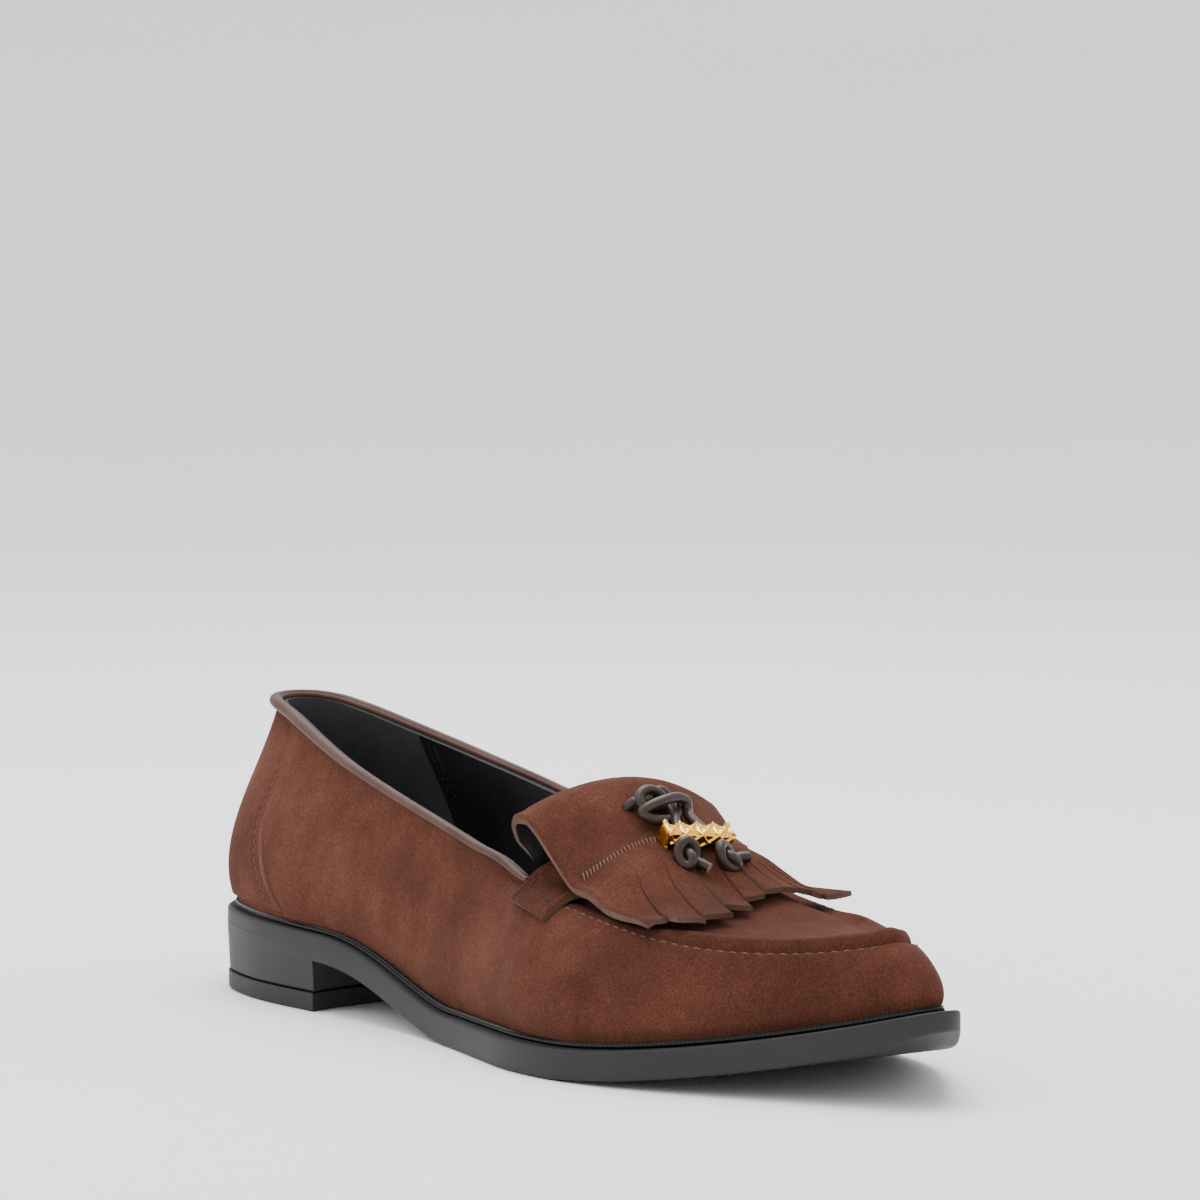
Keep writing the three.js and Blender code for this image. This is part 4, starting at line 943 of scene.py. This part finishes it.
def make_back_stay():
    """The overlay behind the heel, its stitched edge turned and a little raised."""
    heights = np.linspace(0.03, 0.975, 50)[:, None]
    c = np.concatenate([-np.linspace(1, 0, 61) ** 0.8, np.linspace(0, 1, 61)[1:] ** 0.8])[None, :]
    edge = np.abs(c)
    seam = 0.2 * bell(edge, 0.975, 0.014) - 0.25 * bell(edge, 0.93, 0.018)
    rounded = -0.5 * ease(0.985, 1, edge)
    outer = stay_point(c, heights, PIECE_GAP + STAY_RAISED + seam + rounded)
    inner = stay_point(c, heights, -STAY_SUNK)
    shape = Shape()
    turned = edge[0] > 0.984
    finish = (turned[:-1] & turned[1:]).astype(int) * np.ones((len(heights) - 1, 1), int)
    slab(shape, outer, inner, finish)
    shape.piece("back_stay_suede", [SUEDE_DARK, STAY_EDGE], "back_stay", 50)
    threads = Shape()
    v = np.linspace(0.04, 0.97, 60)
    for side in (-1, 1):
        line = stay_point(side * 0.93, v, PIECE_GAP + STAY_RAISED - 0.2)
        out = stay_point(side * 0.93, v, 2) - stay_point(side * 0.93, v, 1)
        sew(threads, line, out, **STAY_STITCH)
    threads.piece("back_stay_stitches", [THREAD_BROWN])


def sew(shape, line, normals, long, gap, radius):
    """Stitches along a line on a surface: short threads whose ends sink in."""
    reach = np.concatenate([[0], np.cumsum(np.linalg.norm(np.diff(line, axis=0), axis=1))])
    normals = normals / np.linalg.norm(normals, axis=1, keepdims=True)
    profile = np.array([-0.9, 0.25, 0.55, 0.25, -0.9])
    for start in np.arange(gap / 2, reach[-1] - long, long + gap):
        at = start + np.linspace(0, long, 5)
        p = np.stack([np.interp(at, reach, line[:, k]) for k in range(3)], -1)
        n = np.stack([np.interp(at, reach, normals[:, k]) for k in range(3)], -1)
        radii = radius * np.array([0.7, 1, 1.05, 1, 0.7])
        shape.tube(p + n * (profile * radius)[:, None], radii, 6, n)


def make_binding():
    """Leather folded over the collar's edge, with a fold line along its outside."""
    feet = np.linspace(0, BINDING_END + BINDING_OVERLAP, 121)
    foot = np.concatenate([feet[:0:-1], feet])
    side = np.where(np.arange(len(foot)) < len(feet) - 1, -1.0, 1.0)
    top = table_point(TOP, side, foot, COLLAR_WIDTH)
    ahead = np.gradient(top, axis=0) * (1, 1, 0)
    out = np.stack([ahead[:, 1], -ahead[:, 0], 0 * side], -1)
    out /= np.linalg.norm(out, axis=1, keepdims=True)
    middle = top - out * WALL / 2
    tucked = ease(BINDING_END - 0.03, BINDING_END + 0.014, foot)
    middle[:, 2] += PIECE_GAP - RIM_DROP + BINDING_HEIGHT / 2 - 1.1 * tucked
    size = (1 - 0.28 * ease(0.1, 0.45, foot) - 0.25 * tucked)[:, None]
    angle = np.linspace(0, 2 * math.pi, 40, endpoint=False)
    fold = 1 - 0.1 * bell(angle, 0.75, 0.12) + 0.06 * bell(angle, 0.25, 0.25)
    section_out = BINDING_SLIM[0] * BINDING_WIDTH / 2 * np.cos(angle) * fold
    section_up = BINDING_SLIM[1] * BINDING_HEIGHT / 2 * np.sin(angle) * fold
    ring = middle[:, None] + out[:, None] * (size * section_out)[..., None]
    ring[..., 2] += size * section_up
    shape = Shape()
    shape.caps(shape.grid(ring.transpose(1, 0, 2), 0, True))
    shape.piece("collar_binding_leather", [BINDING], "collar_binding", 40)
    threads = Shape()
    for s in (-1, 1):
        around = np.linspace(0.004, BINDING_END - 0.01, 160)
        line = rib(s, around, LAST_ROW - 0.45)
        _, _, out_x, out_y = outline_at(s, around, 0)
        sew(threads, line, points_of(out_x, out_y, 0.2), **COLLAR_STITCH)
    threads.piece("collar_stitches", [THREAD_DARK])


def make_surface():
    """The upper's outside as a tree for rays."""
    feet = np.linspace(0.4, 1, 150)
    rows = np.concatenate([np.linspace(0, SEAM_ROW, 24), np.linspace(SEAM_ROW, LAST_ROW, 44)[1:]])
    shape = Shape()
    for side in (-1.0, 1.0):
        shape.grid(rib(side, feet[:, None], rows[None, :]))
    return BVHTree.FromPolygons(np.vstack(shape.points).tolist(), shape.faces)


OUTSIDE = 200


def leaving(surface, x, angle, y=0.0):
    """Distance from the floor to where a line leaves the upper, or nothing."""
    way = Vector((0, math.sin(angle), math.cos(angle)))
    start = Vector((x, y, 0)) + way * OUTSIDE
    hit = surface.ray_cast(start, -way)
    return None if hit[0] is None else OUTSIDE - hit[3]


def smoothed(grid, times=2):
    for _ in range(times):
        wide = np.pad(grid, 1, mode="edge")
        beside = wide[:-2, 1:-1] + wide[2:, 1:-1] + wide[1:-1, :-2] + wide[1:-1, 2:]
        grid = (wide[1:-1, 1:-1] * 2 + beside) / 6
    return grid


STRAP_REAR = float(column(TOP["foot"], TOP["along"], THROAT_FOOT, True)) * SOLE_LENGTH + STRAP_SETBACK
STRAP_FRONT = STRAP_REAR + STRAP_WIDTH
STRAP_ANGLE = math.atan2(STRAP_SPAN / 2, 0.75 * INSTEP_RISE)
STRAP_PROBES = ((0, 0), (1.2, 0), (-1.2, 0), (0, 0.05), (0, -0.05))
FLAP_PROBES = ((0, 0), (2.4, 0), (-2.4, 0), (0, 2.6), (0, -2.6))


def make_strap(surface):
    """The saddle strap over the vamp, its edges turned and stitched."""
    across = np.linspace(-1, 1, 91)
    along = np.linspace(0, 1, 33)
    x = np.zeros((len(along), len(across)))
    turn = np.zeros_like(x)
    reach = np.zeros_like(x)
    for i, b in enumerate(along):
        for j, c in enumerate(across):
            turn[i, j] = c * STRAP_ANGLE * mix(0.88, 1, b)
            y = STRAP_SPAN / 2 * math.sin(turn[i, j]) / math.sin(STRAP_ANGLE)
            wide = 2 * y / COLLAR_WIDTH
            x[i, j] = STRAP_REAR - STRAP_BOW * wide**2 + b * (STRAP_WIDTH + STRAP_FLARE * wide**2)
            hits = [leaving(surface, x[i, j] + dx, turn[i, j] + da) for dx, da in STRAP_PROBES]
            reach[i, j] = max(h for h in hits if h is not None)
    reach = smoothed(reach)
    edge = np.minimum(along, 1 - along)[:, None] * STRAP_WIDTH
    end = (1 - np.abs(across))[None, :] * STRAP_SPAN / 2
    near = np.minimum(edge, end)
    rim = 0.3 * bell(near, 0.7, 0.45) - 0.35 * bell(near, 1.9, 0.4)
    rounded = -0.45 * (1 - ease(0, 0.5, near))

    def points(offset):
        far = reach + offset
        return points_of(x, far * np.sin(turn), far * np.cos(turn))

    outer = points(STRAP_RAISED + rim + rounded)
    shape = Shape()
    slab(shape, outer, points(-STRAP_SUNK))
    shape.piece("saddle_strap_suede", [SUEDE_DARK, OLIVE_EDGE], "saddle_strap", 50)
    threads = Shape()
    normal = points(1) - points(0)
    lines = [(outer[row], normal[row]) for row in (4, 28)]
    lines += [(outer[4:29, col], normal[4:29, col]) for col in (5, 85)]
    for line, way in lines:
        sew(threads, line, way, **STRAP_STITCH)
    threads.piece("saddle_strap_stitches", [THREAD_DARK])


ROOT_STEPS = 1.6
FOLD_STEPS = 7
SLIT_STEP = 12


class Tongue:
    """The folded tongue's middle surface and its normals on a fine grid, read between its points."""

    def __init__(self, surface):
        self.steps = np.linspace(0, LAST_STEP, 129)
        self.shares = np.linspace(-1, 1, 81)
        step, u = np.meshgrid(self.steps, self.shares, indexing="ij")
        value = {key: column(TONGUE["step"], TONGUE[key], step) for key in TONGUE}
        x = value["along"] * SOLE_LENGTH - value["back"] * FLAP_WIDTH * u * u
        y = u * value["half"] * np.where(u > 0, value["far"], 1) * FLAP_WIDTH / 2
        curl = FLAP_CURL * ease(0.66, 0.77, x / SOLE_LENGTH) * np.maximum(0, u) ** 3
        base = float(sole_top(np.array(float(TREAD_START))))
        z = base + (value["rise"] - value["drop"] * u * u) * INSTEP_RISE + curl
        past = STRAP_FRONT + 2
        strap = (STRAP_THICKNESS + CLEARANCE) * (1 - ease(past, past + FLAP_FALL, x))
        low, high = np.full_like(z, np.inf), np.full_like(z, -np.inf)
        for i in np.ndindex(*z.shape):
            for dx, dy in FLAP_PROBES:
                height = leaving(surface, x[i] + dx, 0.0, y[i] + dy)
                if height is not None:
                    low[i] = min(low[i], height)
                    high[i] = max(high[i], height)
        under = low - WALL - CLEARANCE - ROOT_DROP
        over = high + strap + CLEARANCE + FLAP_LIFT
        z = np.where(step < ROOT_STEPS, np.minimum(z, under), z)
        push = np.where((step > FOLD_STEPS) & np.isfinite(over), np.maximum(0, over - z), 0)
        z = z + smoothed(push, 3)
        self.points = points_of(x, y, z)
        along, across = np.gradient(self.points, axis=0), np.gradient(self.points, axis=1)
        normals = np.cross(along, across)
        self.normals = normals / np.linalg.norm(normals, axis=-1, keepdims=True)

    def at(self, step, u, offset=0.0):
        """Points at some steps and shares of the width, moved out from the middle surface."""
        step, u, offset = np.broadcast_arrays(step, u, offset)
        i = np.clip(step / LAST_STEP * (len(self.steps) - 1), 0, len(self.steps) - 1.001)
        j = np.clip((u + 1) / 2 * (len(self.shares) - 1), 0, len(self.shares) - 1.001)
        a, b = i.astype(int), j.astype(int)
        s, t = (i - a)[..., None], (j - b)[..., None]

        def read(grid):
            low = mix(grid[a, b], grid[a, b + 1], t)
            return mix(low, mix(grid[a + 1, b], grid[a + 1, b + 1], t), s)

        normal = read(self.normals)
        normal = normal / np.linalg.norm(normal, axis=-1, keepdims=True)
        return read(self.points) + normal * offset[..., None]


def make_tongue(tongue):
    """The flap in strips that part below the slits, each tip lifted and turned a little by itself."""
    shape = Shape()
    half = FLAP_THICKNESS / 2
    common = np.linspace(0, SLIT_STEP, 97)
    count = len(FRINGE["start"])
    lift = TIP_LIFT[0] + TIP_LIFT[1] * chance.random(count)
    twist = chance.uniform(-TIP_TWIST, TIP_TWIST, count)
    lift[0] = 0
    twist[0] = 0
    for i in range(count):
        end = SLIT_STEP + FRINGE["long"][i] * (LAST_STEP - SLIT_STEP)
        steps = np.concatenate([common, np.linspace(SLIT_STEP, end, 25)[1:]])[:, None]
        splay = FRINGE_SPLAY / FLAP_WIDTH * np.maximum(0, steps - SLIT_STEP) / (LAST_STEP - SLIT_STEP)
        opened = FRINGE_SLIT / 2 / FLAP_WIDTH * ease(SLIT_STEP, SLIT_STEP + 0.5, steps)
        first, last = i == 0, i == count - 1
        near = FRINGE["start"][i] + 0 * steps if first else FRINGE["start"][i] - splay + opened
        far = 1 + 0 * steps if last else FRINGE["start"][i + 1] - splay - opened
        c = (1 - np.cos(np.linspace(0, math.pi, 13)))[None, :] / 2
        u = mix(near, far, c)
        loose = ease(SLIT_STEP, end + 1, steps)
        rise = loose * (lift[i] + twist[i] * (2 * c - 1) + TIP_CUP * (2 * c - 1) ** 2)
        rise = rise + SHINGLE * (1 - 2 * c) * ease(SLIT_STEP, SLIT_STEP + 1.5, steps)
        edge = np.minimum(c, 1 - c)
        free = ease(SLIT_STEP, SLIT_STEP + 0.5, steps)
        round_off = 0.25 * (1 - ease(0, 0.06, edge)) * free
        if first:
            rim_shape = 0.3 * bell(u, -0.965, 0.02) - 0.35 * bell(u, -0.915, 0.014)
            round_off = round_off + 0.35 * (1 - ease(0, 0.06, c)) * (1 - free)
        else:
            rim_shape = 0 * u
        if last:
            round_off = round_off + 0.35 * (1 - ease(0, 0.12, 1 - c)) * (1 - free)
        outer = tongue.at(steps, u, half + rise - round_off + rim_shape)
        inner = tongue.at(steps, u, -half + rise + TIP_THINNED * loose)
        shape.grid(outer)
        shape.grid(inner, 2)
        for column_at, outermost in ((0, first), (-1, last)):
            wall = np.stack([outer[:, column_at], inner[:, column_at]], 1)
            kept = np.ones((len(steps) - 1, 1), bool)
            if not outermost:
                kept[: len(common) - 1] = False
            shape.grid(wall, 1, False, kept)
        for row in (0, -1):
            shape.grid(np.stack([outer[row], inner[row]], 1), 1)
    shape.piece("kiltie_suede", [SUEDE, CUT_EDGE, FLAP_LINING], "kiltie", 45)


STITCH_STEP = 10.65


def make_tongue_stitches(tongue):
    """The laced seam across the flap: slanted threads, each from its own pinhole."""
    threads, holes = Shape(), Shape()
    half = FLAP_THICKNESS / 2
    places = np.linspace(-0.9, 0.95, 58)
    slant = 0.75 * (places[1] - places[0])
    share = np.linspace(0, 1, 7)
    profile = np.array([-0.35, 0.1, 0.2, 0.24, 0.2, 0.1, -0.35])
    for u in places:
        line = tongue.at(STITCH_STEP + mix(0.2, -0.2, share), u + slant * share, half)
        above = tongue.at(STITCH_STEP, u, half + 1) - tongue.at(STITCH_STEP, u, half)
        threads.tube(line + above * profile[:, None], FLAP_THREAD, 6, above)
        rim = tongue.at(STITCH_STEP - 0.3, u, half + 0.06)
        floor = tongue.at(STITCH_STEP - 0.3, u, half - 0.3)
        # Each pinhole is a short dark plug: painted shade where a hole would be
        holes.tube([rim, floor], [0.2, 0.15], 8)
    threads.piece("kiltie_stitches", [THREAD_TAN])
    holes.piece("kiltie_pinholes", [HOLE_SHADE])


def make_apron_stitches():
    """The hand-sewn seam under the apron's rolled edge."""
    threads = Shape()
    for side in (-1, 1):
        feet = np.linspace(0.575, 0.972, 260)
        line = rib(side, feet, SEAM_ROW - (0.25 if side < 0 else 0.7))
        way = np.cross(np.gradient(line, axis=0), rib(side, feet, SEAM_ROW) - line) * side
        way *= np.sign(way[:, 2:3])
        sew(threads, line, way, **APRON_STITCH)
    threads.piece("apron_stitches", [THREAD_TAN])


FLOOR_FLAT = 1.6
FLOOR_REACH = 6
FLOOR_RISE = 1.6
LAMPS = [
    ("lamp_top", (-0.1, 0.1, 1.6), 1.2, 24),
    ("lamp_key", (-0.3, -1.1, 1.1), 0.8, 4),
    ("lamp_back", (-0.9, 0.6, 1.2), 0.7, 5),
]


def make_stage():
    """A plain pale floor that curves up far away, a white world and soft lamps, in metres and watts."""
    far = np.linspace(FLOOR_FLAT, FLOOR_REACH, 24)[1:]
    reach = np.concatenate([np.linspace(0.05, FLOOR_FLAT, 12), far])
    climb = np.clip((reach - FLOOR_FLAT) / (FLOOR_REACH - FLOOR_FLAT), 0, 1)
    rise = FLOOR_RISE * (1 - np.cos(climb * math.pi / 2))
    turn = np.linspace(0, 2 * math.pi, 72, endpoint=False)[:, None]
    bowl = points_of(reach * np.cos(turn), reach * np.sin(turn), rise - 0.0002)
    shape = Shape()
    ids = shape.grid(bowl, 0, True)
    shape.fan(ids[:-1, 0][::-1])
    mesh = bpy.data.meshes.new("floor")
    mesh.from_pydata(np.vstack(shape.points).tolist(), [], shape.faces)
    mesh.shade_smooth()
    floor = placed("floor", mesh)
    paper = Finish("floor_paper")
    tone = paper.ramp(paper.noise(3, 2, 0.5), [(0.3, (0.93, 0.93, 0.93)), (0.7, (0.95, 0.95, 0.95))])
    mesh.materials.append(paper.ended({"Base Color": tone, "Roughness": 0.9}, []))
    world = bpy.data.worlds.new("studio")
    bpy.context.scene.world = world
    world.use_nodes = True
    background = world.node_tree.nodes["Background"]
    background.inputs["Color"].default_value = (1, 1, 1, 1)
    background.inputs["Strength"].default_value = 1.35
    for name, place, size, power in LAMPS:
        data = bpy.data.lights.new(name, "AREA")
        data.size = size
        data.energy = power
        lamp = placed(name, data)
        lamp.location = place
        lamp.rotation_euler = (-Vector(place)).to_track_quat("-Z", "Y").to_euler()


make_camera()
cord, cut_ends, cord_exit, cord_length = make_cord()
bar = make_bar()
make_upper()
make_lining_seam()
make_sole()
make_top_lift()
make_welt()
make_insole()
make_back_stay()
make_binding()
outside = make_surface()
make_strap(outside)
flap = Tongue(outside)
make_tongue(flap)
make_tongue_stitches(flap)
make_apron_stitches()
make_stage()
